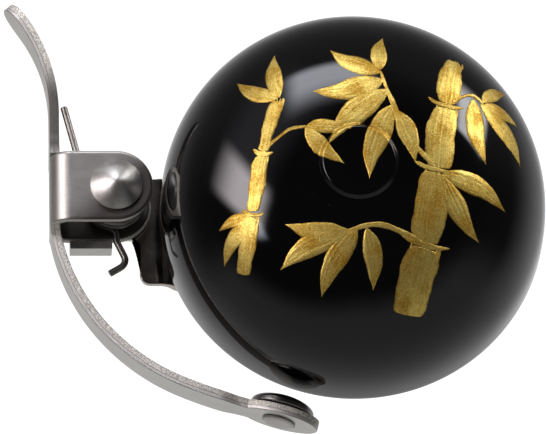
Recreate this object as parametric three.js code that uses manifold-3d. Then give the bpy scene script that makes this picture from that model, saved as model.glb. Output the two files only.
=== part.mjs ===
// Bicycle handlebar bell with a thumb lever: a round dome on a post, a bracket clamped to the bar by a
// steel band, and a sprung lever whose far end carries the striker.
// Millimetres, +Z up along the dome's axis. The origin is on the handlebar's axis, under the dome's centre,
// and the handlebar runs along X.

import * as THREE from 'three';
import { mergeVertices } from 'three/addons/utils/BufferGeometryUtils.js';
import Module from 'manifold-3d';

const wasm = await Module();
wasm.setup();

// Driving dimensions: clamp
const barDiameter = 25.4;
const linerWall = 1.2;
const linerLipHeight = 1.0;
const linerLipWidth = 1.0;
const strapSheet = 1.2;
const strapWidth = 12;
const strapEarLength = 10.5;
const strapEarGap = 4.5;
const strapEarScrewDepth = 5.5;
const bridgeHalfWidth = 6.6;
const clampThread = 4;
const clampHeadDiameter = 7.6;
const clampHeadHeight = 2.6;
const clampWasherDiameter = 8.6;
const clampWasherSheet = 0.8;
const clampNutWidth = 7;
const clampNutHeight = 3.2;
const clampScrewProud = 1.2;
const crossSlotWidth = 0.8;
const crossSlotDepth = 1.3;
const bridgeCorner = 1.6;

// Driving dimensions: post and its screw
const postThread = 5;
const postScrewHeadDiameter = 9;
const postScrewHeadHeight = 1.7;
const postScrewGrip = 6;
const hexKey = 3;
const hexKeyDepth = 1.0;
const lockWasherDiameter = 9;
const lockWasherSheet = 1.1;
const lockWasherSplit = 0.8;
const postDiameter = 8;
const postFootDiameter = 10;
const postFootHeight = 2.5;
const postHeadDiameter = 12;
const postHeadHeight = 2;
const domeWasherSheet = 0.8;

// Driving dimensions: dome
const domeDiameter = 55;
const domeHeight = 23.1;
const domeSkirt = 1.5;
const domeRoundness = 2.58;
const domeWall = 1.3;
const rimRadius = 0.4;
const crownSeatDiameter = 12.4;
const crownDiscDiameter = 11.4;
const crownDiscTopDiameter = 10.2;
const crownDiscHeight = 0.6;
const crownScrewGrip = 7;

// Driving dimensions: bracket
const bracketSheet = 1.2;
const bracketWidth = 15.9;
const bracketEndLength = 6.4;
const bracketShoulderLength = 3.6;
const bracketCornerRadius = 1.5;
const joggleSetLength = 2.8;
const joggleHeight = 3.5;
const joggleRadius = 2.2;
const joggleAngle = 55;
const tongueHeight = 7.2;
const notchDepth = 1.2;
const shelfLength = 6;
const shelfDepth = 3.8;
const shelfGap = 0.4;
const shelfBendRadius = 0.7;
const equatorHeight = 8.2;

// Driving dimensions: lever
const leverSheet = 1.4;
const pivotDistance = 6.2;
const pivotOffset = 3.15;
const webDepth = 9.4;
const earRadius = 5.25;
const channelWidth = 10.75;
const channelBend = 2.4;
const stripWidth = 5.5;
const thumbStraight = 6.6;
const thumbRadius = 24.3;
const thumbAngle = 43;
const thumbTipWidth = 6.4;
const thumbTipLength = 3.4;
const shoulderLength = 3.4;
const armShoulderLength = 1.2;
const armBendRadius = 3;
const armBendAngle = 9.6;
const armAngle = 56.7;
const armTailRadius = 60;
const armTailAngle = 8;
const waistWidth = 4.4;
const waistLength = 3.2;
const padLength = 11.3;
const padWidth = 7.6;
const padAngle = 19.6;
const strikeGap = 1.4;

// Driving dimensions: pivot, spring and striker
const rivetDiameter = 3.6;
const rivetHeadDiameter = 7.1;
const rivetHeadHeight = 2.2;
const rivetRim = 0.35;
const rivetTailDiameter = 5.8;
const rivetTailHeight = 0.9;
const pivotWasherSheet = 0.35;
const pivotWasherDiameter = 7.4;
const bushDiameter = 5.6;
const springWire = 1.0;
const springRadius = 3.85;
const springTurns = 3;
const springPitch = 1.55;
const springFrontGap = 3.25;
const springUpperAngle = 13.4;
const springUpperLength = 14.2;
const springLegSlant = 25.7;
const springLegLength = 3.8;
const springHookAngle = 30.5;
const springHookLength = 3.05;
const springBendRadius = 1.3;
const strikerDiameter = 9.2;
const strikerHeight = 1.9;
const strikerRim = 0.5;
const strikerShank = 3;
const strikerTailDiameter = 5;
const strikerTailHeight = 0.5;

// Named clearances: metal on metal, a pin in its hole, and a face that something turns against
const seatGap = 0.1;
const pinGap = 0.1;
const runningGap = 0.15;
const screwHoleGap = 0.25;

// Chamfer on turned edges, and how far a cutting solid reaches past what it cuts
const edgeBreak = 0.5;
const beyond = 40;

// Steps of a full circle, by the size of what is round
const fineSteps = 64;
const hoopSteps = 48;
const roundSteps = 32;
const smallSteps = 20;

// Levels above the bar's axis, from the bar upwards
const barRadius = barDiameter / 2;
const linerRadius = barRadius + linerWall;
const strapRadius = linerRadius + seatGap;
const bridgeInside = linerRadius + runningGap + postScrewHeadHeight + seatGap;
const bridgeTop = bridgeInside + strapSheet;
const armTop = bridgeTop + bracketSheet;
const plateTop = armTop + joggleHeight;
const equator = plateTop + equatorHeight;
const crownSeat = domeCurve(crownSeatDiameter / 2, domeDiameter / 2, domeHeight);
const innerSeat = crownSeat - domeWall;
const channelBack = plateTop + pivotWasherSheet + 2 * seatGap;
const channelFront = channelBack + channelWidth;
const leverMiddle = channelBack + channelWidth / 2;

// Places across the bell, from the dome's side outwards: the pivot, the lever's web, and the bracket's edges
const pivotX = -domeDiameter / 2 - pivotDistance;
const pivotY = pivotOffset;
const webFace = pivotX - webDepth;
const bracketLeft = pivotX - bracketEndLength;
const bracketShoulder = pivotX + bracketShoulderLength;
const joggleStart = bracketShoulder + joggleSetLength;
const shelfRight = bracketLeft + shelfLength;
const shelfTop = pivotY - earRadius - shelfGap;

const steel = { color: 0xb9b6b1, roughness: 0.34, metalness: 1 };
const darkSteel = { color: 0x4b4441, roughness: 0.25, metalness: 1 };
const zincSteel = { color: 0x9a9c9e, roughness: 0.4, metalness: 1 };
const lacquer = { color: 0x0b0a0c, roughness: 0.06, metalness: 0.1 };
const rubber = { color: 0x1a1a1a, roughness: 0.85, metalness: 0 };
const fibre = { color: 0x5a2a20, roughness: 0.8, metalness: 0 };

// The height of a superellipse dome above its equator at a distance from the axis.
function domeCurve(distance, radius, height) {
  return height * (1 - (distance / radius) ** domeRoundness) ** (1 / domeRoundness);
}

// A closed manifold solid from any closed three.js geometry.
function solid(geometry) {
  const bare = geometry.index ? geometry.toNonIndexed() : geometry.clone();
  bare.deleteAttribute('normal');
  bare.deleteAttribute('uv');
  const merged = mergeVertices(bare, 1e-4);
  return new wasm.Manifold(new wasm.Mesh({
    numProp: 3,
    vertProperties: new Float32Array(merged.attributes.position.array),
    triVerts: new Uint32Array(merged.index.array),
  }));
}

// The solid's triangles as a geometry with flat facets.
function geometryOf(manifold) {
  const mesh = manifold.getMesh();
  const geometry = new THREE.BufferGeometry();
  geometry.setAttribute('position', new THREE.BufferAttribute(new Float32Array(mesh.vertProperties), 3));
  geometry.setIndex(new THREE.BufferAttribute(new Uint32Array(mesh.triVerts), 1));
  geometry.computeVertexNormals();
  return geometry;
}

// A named piece of the bell, from a geometry or a manifold solid.
function piece(name, shape, finish) {
  const geometry = shape.isBufferGeometry ? shape : geometryOf(shape);
  const mesh = new THREE.Mesh(geometry, new THREE.MeshStandardMaterial(finish));
  mesh.name = name;
  return mesh;
}

// A plan outline in XY, raised from a low to a high level.
function plate(shape, low, high, curveSteps = smallSteps) {
  const settings = { depth: high - low, bevelEnabled: false, curveSegments: curveSteps };
  return new THREE.ExtrudeGeometry(shape, settings).translate(0, 0, low);
}

// A section drawn in (Y, Z), carried along X from one place to another.
function alongX(shape, from, to, curveSteps = smallSteps) {
  const settings = { depth: to - from, bevelEnabled: false, curveSegments: curveSteps };
  const turn = new THREE.Matrix4().makeBasis(
    new THREE.Vector3(0, 1, 0), new THREE.Vector3(0, 0, 1), new THREE.Vector3(1, 0, 0));
  return new THREE.ExtrudeGeometry(shape, settings).applyMatrix4(turn).translate(from, 0, 0);
}

// A section drawn in (X, Z), carried along Y from one place to another.
function alongY(shape, from, to, curveSteps = smallSteps) {
  const settings = { depth: to - from, bevelEnabled: false, curveSegments: curveSteps };
  const turn = new THREE.Matrix4().makeBasis(
    new THREE.Vector3(1, 0, 0), new THREE.Vector3(0, 0, 1), new THREE.Vector3(0, -1, 0));
  return new THREE.ExtrudeGeometry(shape, settings).applyMatrix4(turn).translate(0, to, 0);
}

// A body turned round Z: the profile lists [radius, height] and starts and ends on the axis, or closes.
function turned(profile, steps = roundSteps) {
  const points = profile.map(([r, z]) => new THREE.Vector2(r, z));
  return new THREE.LatheGeometry(points, steps).rotateX(Math.PI / 2);
}

// A flat ring round Z, with its hole.
function ring(outer, inner, low, high, steps = roundSteps) {
  const profile = [[inner, low], [outer, low], [outer, high], [inner, high], [inner, low]];
  return turned(profile, steps);
}

// A pin along Z, standing on x and y.
function pin(radius, low, high, x = 0, y = 0, steps = roundSteps) {
  return turned([[0, low], [radius, low], [radius, high], [0, high]], steps).translate(x, y, 0);
}

// A body turned round Z laid so that its axis points along +Y, its origin at x, y, z.
function facingY(geometry, x, y, z) {
  return geometry.rotateX(-Math.PI / 2).translate(x, y, z);
}

// A hexagon across its flats.
function hexagon(acrossFlats) {
  const corners = [];
  for (let i = 0; i < 6; i += 1) {
    const angle = (i + 0.5) * Math.PI / 3;
    const radius = acrossFlats / 2 / Math.cos(Math.PI / 6);
    corners.push(new THREE.Vector2(radius * Math.cos(angle), radius * Math.sin(angle)));
  }
  return new THREE.Shape(corners);
}

// A rectangle between two corners.
function rectangle(x0, y0, x1, y1) {
  const corners = [[x0, y0], [x1, y0], [x1, y1], [x0, y1]];
  return new THREE.Shape(corners.map(([x, y]) => new THREE.Vector2(x, y)));
}

// A rectangle whose four corners are rounded.
function roundedRectangle(x0, y0, x1, y1, r) {
  const shape = new THREE.Shape();
  shape.moveTo(x0 + r, y0);
  shape.absarc(x1 - r, y0 + r, r, -Math.PI / 2, 0);
  shape.absarc(x1 - r, y1 - r, r, 0, Math.PI / 2);
  shape.absarc(x0 + r, y1 - r, r, Math.PI / 2, Math.PI);
  shape.absarc(x0 + r, y0 + r, r, Math.PI, 1.5 * Math.PI);
  return shape;
}

// The stations of a line that runs straight or bends: each run is { length } or { radius, angle } in degrees,
// with a step where it has more than one, and a positive angle bends to the left. A station has its place,
// its heading and its distance along the line.
function bentLine(x, y, headingDegrees, runs) {
  let heading = THREE.MathUtils.degToRad(headingDegrees);
  let travelled = 0;
  const stations = [{ x, y, heading, travelled }];
  for (const run of runs) {
    const turn = THREE.MathUtils.degToRad(run.angle ?? 0);
    const length = run.length ?? Math.abs(turn) * run.radius;
    const count = run.step ? Math.ceil(length / run.step) : 1;
    for (let i = 0; i < count; i += 1) {
      const half = turn / count / 2;
      const chord = turn ? 2 * run.radius * Math.sin(Math.abs(half)) : length / count;
      x += chord * Math.cos(heading + half);
      y += chord * Math.sin(heading + half);
      heading += 2 * half;
      travelled += length / count;
      stations.push({ x, y, heading, travelled });
    }
  }
  return stations;
}

// The outline of a sheet bent along a line, half of its thickness on each side.
function bentSheet(stations, thickness) {
  const side = (s, offset) => new THREE.Vector2(
    s.x - offset * Math.sin(s.heading), s.y + offset * Math.cos(s.heading));
  const left = stations.map((s) => side(s, thickness / 2));
  const right = stations.map((s) => side(s, -thickness / 2));
  return new THREE.Shape([...right, ...left.reverse()]);
}

// A strip bent along a line in XY whose width, across Z, changes along the line: one rectangle at each
// station, joined to the next, and closed at both ends.
function bentStrip(stations, thickness, halfWidth, middle) {
  const points = [];
  for (const s of stations) {
    const w = halfWidth(s.travelled);
    for (const [side, across] of [[1, 1], [-1, 1], [-1, -1], [1, -1]]) {
      points.push(
        s.x - side * thickness / 2 * Math.sin(s.heading),
        s.y + side * thickness / 2 * Math.cos(s.heading),
        middle + across * w);
    }
  }
  const faces = [];
  for (let i = 0; i + 1 < stations.length; i += 1) {
    for (let k = 0; k < 4; k += 1) {
      const a = 4 * i + k;
      const b = 4 * i + (k + 1) % 4;
      faces.push(a, b, b + 4, a, b + 4, a + 4);
    }
  }
  const last = 4 * (stations.length - 1);
  faces.push(0, 2, 1, 0, 3, 2, last, last + 1, last + 2, last, last + 2, last + 3);
  const geometry = new THREE.BufferGeometry();
  geometry.setAttribute('position', new THREE.Float32BufferAttribute(points, 3));
  geometry.setIndex(faces);
  return geometry;
}

// Dome: a spun shell, open below, with a round rim, a flat seat at the crown and a hole for its screw.
function dome() {
  const radius = domeDiameter / 2;
  const hole = postThread / 2 + pinGap;
  const seat = crownSeatDiameter / 2;
  const curveSteps = 11;
  const wallPoints = (outer, height, fromRadius) => {
    const low = Math.acos((fromRadius / outer) ** (domeRoundness / 2));
    const points = [];
    for (let i = 0; i <= curveSteps; i += 1) {
      const angle = low * i / curveSteps;
      points.push([
        outer * Math.cos(angle) ** (2 / domeRoundness),
        equator + height * Math.sin(angle) ** (2 / domeRoundness)]);
    }
    return points;
  };
  const rim = [];
  for (let i = 0; i <= 4; i += 1) {
    const angle = -Math.PI / 2 + i * Math.PI / 8;
    rim.push([
      radius - rimRadius + rimRadius * Math.cos(angle),
      equator - domeSkirt + rimRadius + rimRadius * Math.sin(angle)]);
  }
  const outside = wallPoints(radius, domeHeight, seat);
  const inside = wallPoints(radius - domeWall, domeHeight - domeWall, seat).reverse();
  const profile = [
    [radius - domeWall, equator - domeSkirt],
    ...rim, ...outside,
    [seat - seatGap, equator + crownSeat],
    [hole, equator + crownSeat],
    [hole, equator + innerSeat],
    [seat - seatGap, equator + innerSeat],
    ...inside,
    [radius - domeWall, equator - domeSkirt],
  ];
  return piece('bell_dome', solid(turned(profile, fineSteps)), lacquer);
}

// Crown screw: a flat disc head with a bevelled edge, seated on the crown, and a shank into the post.
function crownScrew() {
  const seat = equator + crownSeat;
  const shank = postThread / 2;
  const profile = [
    [0, seat - crownScrewGrip],
    [shank - edgeBreak, seat - crownScrewGrip],
    [shank, seat - crownScrewGrip + edgeBreak],
    [shank, seat],
    [crownDiscDiameter / 2, seat],
    [crownDiscTopDiameter / 2, seat + crownDiscHeight],
    [0, seat + crownDiscHeight],
  ];
  return piece('crown_screw', turned(profile), lacquer);
}

// Post parts, stacked from the bracket's arm up to the inside of the crown.
function postParts() {
  const bore = postThread / 2 + pinGap;
  const washerTop = armTop + lockWasherSheet;
  const headTop = equator + innerSeat - domeWasherSheet;
  const foot = postFootDiameter / 2;
  const head = postHeadDiameter / 2;
  const body = postDiameter / 2;
  const post = turned([
    [bore, washerTop],
    [foot, washerTop],
    [foot, washerTop + postFootHeight],
    [body, washerTop + postFootHeight + foot - body],
    [body, headTop - postHeadHeight - (head - body)],
    [head, headTop - postHeadHeight],
    [head, headTop],
    [bore, headTop],
    [bore, washerTop],
  ]);
  const washer = ring(head, bore, headTop, equator + innerSeat);
  const lockWasher = solid(ring(lockWasherDiameter / 2, bore, armTop, washerTop));
  const splitHalf = lockWasherSplit / 2;
  const split = plate(rectangle(0, -splitHalf, beyond, splitHalf), -beyond, beyond);
  return [
    piece('center_post', post, zincSteel),
    piece('dome_washer', washer, fibre),
    piece('post_lock_washer', lockWasher.subtract(solid(split)), zincSteel),
  ];
}

// Post screw: a low round head inside the band's bridge, its shank up through band, arm and washer.
function postScrew() {
  const under = bridgeInside;
  const low = under - postScrewHeadHeight;
  const head = postScrewHeadDiameter / 2;
  const shank = postThread / 2;
  const top = armTop + lockWasherSheet + postScrewGrip;
  const body = solid(turned([
    [0, low],
    [head - edgeBreak, low],
    [head, low + edgeBreak],
    [head, under],
    [shank, under],
    [shank, top - edgeBreak],
    [shank - edgeBreak, top],
    [0, top],
  ]));
  const socket = solid(plate(hexagon(hexKey), -beyond, low + hexKeyDepth));
  return piece('post_screw', body.subtract(socket), zincSteel);
}

// Base bracket: a plate behind the lever with a shelf under the pivot, a joggle down and an arm to the post.
function baseBracket() {
  const half = bracketWidth / 2;
  const middle = plateTop - bracketSheet / 2;
  const bend = THREE.MathUtils.degToRad(joggleAngle);
  const slope = (joggleHeight - 2 * joggleRadius * (1 - Math.cos(bend))) / Math.sin(bend);
  const line = bentLine(bracketLeft, middle, 0, [
    { length: joggleStart - bracketLeft },
    { radius: joggleRadius, angle: -joggleAngle, step: 0.35 },
    { length: slope },
    { radius: joggleRadius, angle: joggleAngle, step: 0.35 },
    { length: -bracketLeft + half },
  ]);
  const sheet = solid(alongY(bentSheet(line, bracketSheet), -half, half));

  const shelfFloor = shelfTop - bracketSheet;
  const notchFloor = -notchDepth;
  const corner = bracketCornerRadius;
  const shoulder = bracketShoulder;
  const plan = new THREE.Shape();
  plan.moveTo(bracketLeft, shelfFloor);
  plan.lineTo(shelfRight, shelfFloor);
  plan.lineTo(shelfRight, notchFloor);
  plan.absarc(shoulder - corner, notchFloor - corner, corner, Math.PI / 2, 0, true);
  plan.absarc(shoulder + corner, -half + corner, corner, Math.PI, 1.5 * Math.PI);
  plan.absarc(0, 0, half, -Math.PI / 2, Math.PI / 2);
  plan.absarc(shoulder + corner, half - corner, corner, Math.PI / 2, Math.PI);
  plan.lineTo(shoulder, tongueHeight);
  plan.absarc(bracketLeft + corner, tongueHeight - corner, corner, Math.PI / 2, Math.PI);
  const cutter = solid(plate(plan, -beyond, beyond));

  // The shelf is the plate's lower edge, folded forward under the lever's ears.
  const fold = bentLine(pivotY, middle, 180, [
    { length: pivotY - shelfTop + bracketSheet / 2 - shelfBendRadius },
    { radius: shelfBendRadius, angle: -90, step: 0.3 },
    { length: shelfDepth - shelfBendRadius },
  ]);
  const shelf = solid(alongX(bentSheet(fold, bracketSheet), bracketLeft, shelfRight));

  const pivotHole = solid(pin(rivetDiameter / 2 + pinGap, -beyond, beyond, pivotX, pivotY));
  const postHole = solid(pin(postThread / 2 + screwHoleGap, -beyond, beyond));
  const body = sheet.intersect(cutter).add(shelf).subtract(pivotHole).subtract(postHole);
  return piece('base_bracket', body, darkSteel);
}

// Strap band: a ring round the bar with a raised bridge on top and two ears below.
function strapBand() {
  const outer = strapRadius + strapSheet;
  const earFace = strapEarGap / 2;
  const earEnd = -outer - strapEarLength;
  const halfWidth = strapWidth / 2;
  const disc = (r) => new THREE.Shape().absarc(0, 0, r, 0, 2 * Math.PI);
  const hoop = solid(alongX(disc(outer), -halfWidth, halfWidth, hoopSteps));
  const bore = solid(alongX(disc(strapRadius), -beyond, beyond, hoopSteps));
  const wide = bridgeHalfWidth;
  const arch = roundedRectangle(-wide, 0, wide, bridgeTop, bridgeCorner);
  const block = solid(alongX(arch, -halfWidth, halfWidth));
  const inner = wide - strapSheet;
  const pocket = solid(alongX(
    roundedRectangle(-inner, 0, inner, bridgeInside, bridgeCorner - strapSheet), -beyond, beyond));
  const earHalf = earFace + strapSheet;
  const ears = solid(alongX(rectangle(-earHalf, earEnd, earHalf, 0), -halfWidth, halfWidth));
  const slot = solid(alongX(rectangle(-earFace, -beyond, earFace, 0), -beyond, beyond));
  const earRound = solid(facingY(ring(beyond, halfWidth, -beyond, beyond), 0, 0, earEnd + halfWidth));
  const below = solid(alongX(rectangle(-beyond, -beyond, beyond, earEnd + halfWidth), -beyond, beyond));
  const screwHole = solid(facingY(
    pin(clampThread / 2 + screwHoleGap, -beyond, beyond), 0, 0, -outer - strapEarScrewDepth));
  const postHole = solid(pin(postThread / 2 + screwHoleGap, 0, beyond));
  const body = hoop.add(block).add(ears)
    .subtract(bore).subtract(pocket).subtract(slot)
    .subtract(earRound.intersect(below))
    .subtract(screwHole).subtract(postHole);
  return piece('strap_band', body, zincSteel);
}

// Strap liner: a split rubber sleeve between bar and band, with a lip at each edge of the band.
function strapLiner() {
  const inside = strapWidth / 2 + seatGap;
  const outside = inside + linerLipWidth;
  const lip = linerRadius + linerLipHeight;
  const sleeve = solid(turned([
    [barRadius, -outside],
    [lip, -outside],
    [lip, -inside],
    [linerRadius, -inside],
    [linerRadius, inside],
    [lip, inside],
    [lip, outside],
    [barRadius, outside],
    [barRadius, -outside],
  ], hoopSteps).rotateY(Math.PI / 2));
  const slit = solid(alongX(rectangle(-strapEarGap / 2, -beyond, strapEarGap / 2, 0), -beyond, beyond));
  return piece('strap_liner', sleeve.subtract(slit), rubber);
}

// Clamp screw, washer and nut: they lie along Y through the band's ears.
function clampParts() {
  const earOuter = strapEarGap / 2 + strapSheet;
  const level = -strapRadius - strapSheet - strapEarScrewDepth;
  const shank = clampThread / 2;
  const head = clampHeadDiameter / 2;
  const washerTop = earOuter + clampWasherSheet;
  const end = -earOuter - clampNutHeight - clampScrewProud;
  const headRim = clampHeadHeight / 3;
  const headTop = washerTop + clampHeadHeight;
  const cap = [];
  const steps = 5;
  for (let i = 0; i < steps; i += 1) {
    const angle = i * Math.PI / 2 / steps;
    const rise = (clampHeadHeight - headRim) * Math.sin(angle);
    cap.push([head * Math.sqrt(Math.cos(angle)), washerTop + headRim + rise]);
  }
  const screw = solid(turned([
    [0, end],
    [shank - edgeBreak, end],
    [shank, end + edgeBreak],
    [shank, washerTop],
    [head, washerTop],
    ...cap,
    [0, headTop],
  ], smallSteps));
  const arm = head / 2;
  const slotHalf = crossSlotWidth / 2;
  const floor = headTop - crossSlotDepth;
  const cross = solid(plate(rectangle(-arm, -slotHalf, arm, slotHalf), floor, beyond))
    .add(solid(plate(rectangle(-slotHalf, -arm, slotHalf, arm), floor, beyond)));
  const washer = ring(clampWasherDiameter / 2, shank + pinGap, earOuter, washerTop, smallSteps);
  const nutBlock = solid(plate(hexagon(clampNutWidth), -earOuter - clampNutHeight, -earOuter));
  const nutHole = solid(pin(shank + pinGap, -beyond, beyond, 0, 0, smallSteps));
  const lay = (shape) => {
    const geometry = shape.isBufferGeometry ? shape : geometryOf(shape);
    return facingY(geometry, 0, 0, level);
  };
  return [
    piece('clamp_screw', lay(screw.subtract(cross)), zincSteel),
    piece('clamp_washer', lay(washer), zincSteel),
    piece('clamp_nut', lay(nutBlock.subtract(nutHole)), zincSteel),
  ];
}

// The lever's middle line in plan: the thumb tab runs up from the channel's upper edge to its tip, and the
// arm runs down from the lower edge to the middle of the oval pad. Both start a little inside the channel.
const webMiddle = webFace + leverSheet / 2;
const weldLap = 0.3;
const thumbLength = weldLap + thumbStraight + THREE.MathUtils.degToRad(thumbAngle) * thumbRadius;
const thumbLine = bentLine(webMiddle, pivotY + earRadius - weldLap, 90, [
  { length: weldLap + thumbStraight, step: 0.85 },
  { radius: thumbRadius, angle: thumbAngle, step: 0.95 },
]);
const padReach = padLength / 2;
const armRoot = pivotY - earRadius;
const armRuns = runsToPad();
const armStart = [webMiddle, armRoot + weldLap, -90];
const toPad = bentLine(...armStart, armRuns);
const padCentre = toPad[toPad.length - 1];
const armLine = bentLine(...armStart, [...armRuns, { length: padReach, step: 0.4 }]);

// The arm's runs as far as the pad's middle. Its main bend and its straight end take the sizes that bring the
// pad to its place: off the dome's side by the striker and its gap, and turned from the front by an angle.
function runsToPad() {
  const distance = domeDiameter / 2 + strikeGap + strikerHeight + seatGap + leverSheet / 2;
  const place = THREE.MathUtils.degToRad(padAngle);
  const headings = [0, armBendAngle, armAngle, armTailAngle];
  let turned = -90;
  const [down, bent, swept, end] = headings.map((angle) => {
    turned += angle;
    return THREE.MathUtils.degToRad(turned);
  });
  const arc = (radius, from, to) => new THREE.Vector2(
    radius * (Math.sin(to) - Math.sin(from)), radius * (Math.cos(from) - Math.cos(to)));
  const rest = new THREE.Vector2(-distance * Math.sin(place), -distance * Math.cos(place))
    .sub(new THREE.Vector2(webMiddle, armRoot))
    .sub(arc(armBendRadius, down, bent))
    .sub(arc(armTailRadius, swept, end));
  const main = arc(1, bent, swept);
  const straight = new THREE.Vector2(Math.cos(end), Math.sin(end));
  const whole = main.cross(straight);
  return [
    { length: weldLap },
    { radius: armBendRadius, angle: armBendAngle, step: 0.25 },
    { radius: rest.cross(straight) / whole, angle: armAngle, step: 1.4 },
    { radius: armTailRadius, angle: armTailAngle, step: 1.2 },
    { length: main.cross(rest) / whole, step: 0.45 },
  ];
}

// Half of the strip's width where it leaves the channel, inside the channel's two bends.
const shoulderHalf = (channelWidth - channelBend) / 2;

// Half of the strip's width at a distance up the thumb tab.
function thumbHalfWidth(travelled) {
  const narrow = stripWidth / 2;
  const along = THREE.MathUtils.smoothstep(travelled, weldLap, weldLap + shoulderLength);
  const spread = THREE.MathUtils.smoothstep(travelled, thumbLength / 2, thumbLength - thumbTipLength);
  const wide = shoulderHalf + (narrow - shoulderHalf) * along + (thumbTipWidth - stripWidth) / 2 * spread;
  const past = THREE.MathUtils.clamp((travelled - thumbLength + thumbTipLength) / thumbTipLength, 0, 0.995);
  return wide * Math.sqrt(1 - past * past);
}

// Half of the strip's width at a distance down the arm, through its waist to the far end of the pad.
function armHalfWidth(travelled) {
  const narrow = stripWidth / 2;
  const waistAt = padCentre.travelled - padReach;
  const along = THREE.MathUtils.smoothstep(travelled, weldLap, weldLap + armShoulderLength);
  const closing = THREE.MathUtils.smoothstep(travelled, waistAt - waistLength, waistAt);
  const strip = shoulderHalf + (narrow - shoulderHalf) * along - (stripWidth - waistWidth) / 2 * closing;
  const fromCentre = (travelled - padCentre.travelled) / padReach;
  const oval = padWidth / 2 * Math.sqrt(Math.max(1 - fromCentre ** 2, 0.002));
  return fromCentre < 0 ? Math.max(strip, oval) : oval;
}

// Lever: thumb tab, folded channel and striker arm of one sheet.
function lever() {
  const thumb = solid(bentStrip(thumbLine, leverSheet, thumbHalfWidth, leverMiddle));
  const arm = solid(bentStrip(armLine, leverSheet, armHalfWidth, leverMiddle));

  const outer = roundedRectangle(webFace, channelBack, 0, channelFront, channelBend);
  const hollowBack = channelBack + leverSheet;
  const hollowFront = channelFront - leverSheet;
  const hollowBend = channelBend - leverSheet;
  const inner = roundedRectangle(webFace + leverSheet, hollowBack, beyond, hollowFront, hollowBend);
  const low = pivotY - earRadius;
  const high = pivotY + earRadius;
  const folded = solid(alongY(outer, low, high)).subtract(solid(alongY(inner, -beyond, beyond)));
  const side = new THREE.Shape();
  side.moveTo(-2 * beyond, low);
  side.lineTo(pivotX, low);
  side.absarc(pivotX, pivotY, earRadius, -Math.PI / 2, Math.PI / 2);
  side.lineTo(-2 * beyond, high);
  const earCutter = solid(plate(side, -beyond, beyond, roundSteps));
  const pivotHole = solid(pin(rivetDiameter / 2 + pinGap, -beyond, beyond, pivotX, pivotY));
  const shankHole = solid(alongPad(pin(strikerShank / 2 + pinGap, -leverSheet, leverSheet)));
  const body = folded.intersect(earCutter).add(thumb).add(arm).subtract(pivotHole).subtract(shankHole);
  return piece('lever', body, steel);
}

// A body turned round Z moved to the pad: its +Z points from the pad's middle towards the dome.
function alongPad(geometry) {
  const normal = new THREE.Vector3(-Math.sin(padCentre.heading), Math.cos(padCentre.heading), 0);
  const turn = new THREE.Quaternion().setFromUnitVectors(new THREE.Vector3(0, 0, 1), normal);
  return geometry.applyQuaternion(turn).translate(padCentre.x, padCentre.y, leverMiddle);
}

// Striker head: a domed button on the pad, its shank through the pad and its tail spread outside.
function strikerHead() {
  const seat = leverSheet / 2 + seatGap;
  const radius = strikerDiameter / 2;
  const shank = strikerShank / 2;
  const tail = strikerTailDiameter / 2;
  const cap = [];
  const steps = 7;
  for (let i = 0; i < steps; i += 1) {
    const angle = i * Math.PI / 2 / steps;
    cap.push([radius * Math.cos(angle), seat + strikerRim + (strikerHeight - strikerRim) * Math.sin(angle)]);
  }
  const profile = [
    [0, -seat - strikerTailHeight],
    [tail * 0.7, -seat - strikerTailHeight * 0.85],
    [tail, -seat],
    [shank, -seat],
    [shank, seat],
    [radius, seat],
    ...cap,
    [0, seat + strikerHeight],
  ];
  return piece('striker_head', alongPad(turned(profile)), steel);
}

// Pivot parts: the rivet through both ears and the plate, its bush inside the spring, and a washer behind.
function pivotParts() {
  const front = channelFront + runningGap;
  const radius = rivetDiameter / 2;
  const head = rivetHeadDiameter / 2;
  const tail = rivetTailDiameter / 2;
  const behind = plateTop - bracketSheet - seatGap;
  const cap = [];
  const steps = 7;
  for (let i = 0; i < steps; i += 1) {
    const angle = i * Math.PI / 2 / steps;
    cap.push([head * Math.cos(angle), front + rivetRim + (rivetHeadHeight - rivetRim) * Math.sin(angle)]);
  }
  const rivet = turned([
    [0, behind - rivetTailHeight],
    [tail * 0.7, behind - rivetTailHeight * 0.9],
    [tail, behind],
    [radius, behind],
    [radius, front],
    [head, front],
    ...cap,
    [0, front + rivetHeadHeight],
  ]).translate(pivotX, pivotY, 0);
  const bushLow = channelBack + leverSheet + runningGap;
  const bushHigh = channelFront - leverSheet - runningGap;
  const bush = ring(bushDiameter / 2, radius + pinGap, bushLow, bushHigh).translate(pivotX, pivotY, 0);
  const washer = ring(
    pivotWasherDiameter / 2, radius + pinGap, plateTop + seatGap, plateTop + seatGap + pivotWasherSheet);
  return [
    piece('pivot_rivet', rivet, steel),
    piece('pivot_bush', bush, zincSteel),
    piece('pivot_washer', washer.translate(pivotX, pivotY, 0), zincSteel),
  ];
}

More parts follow.
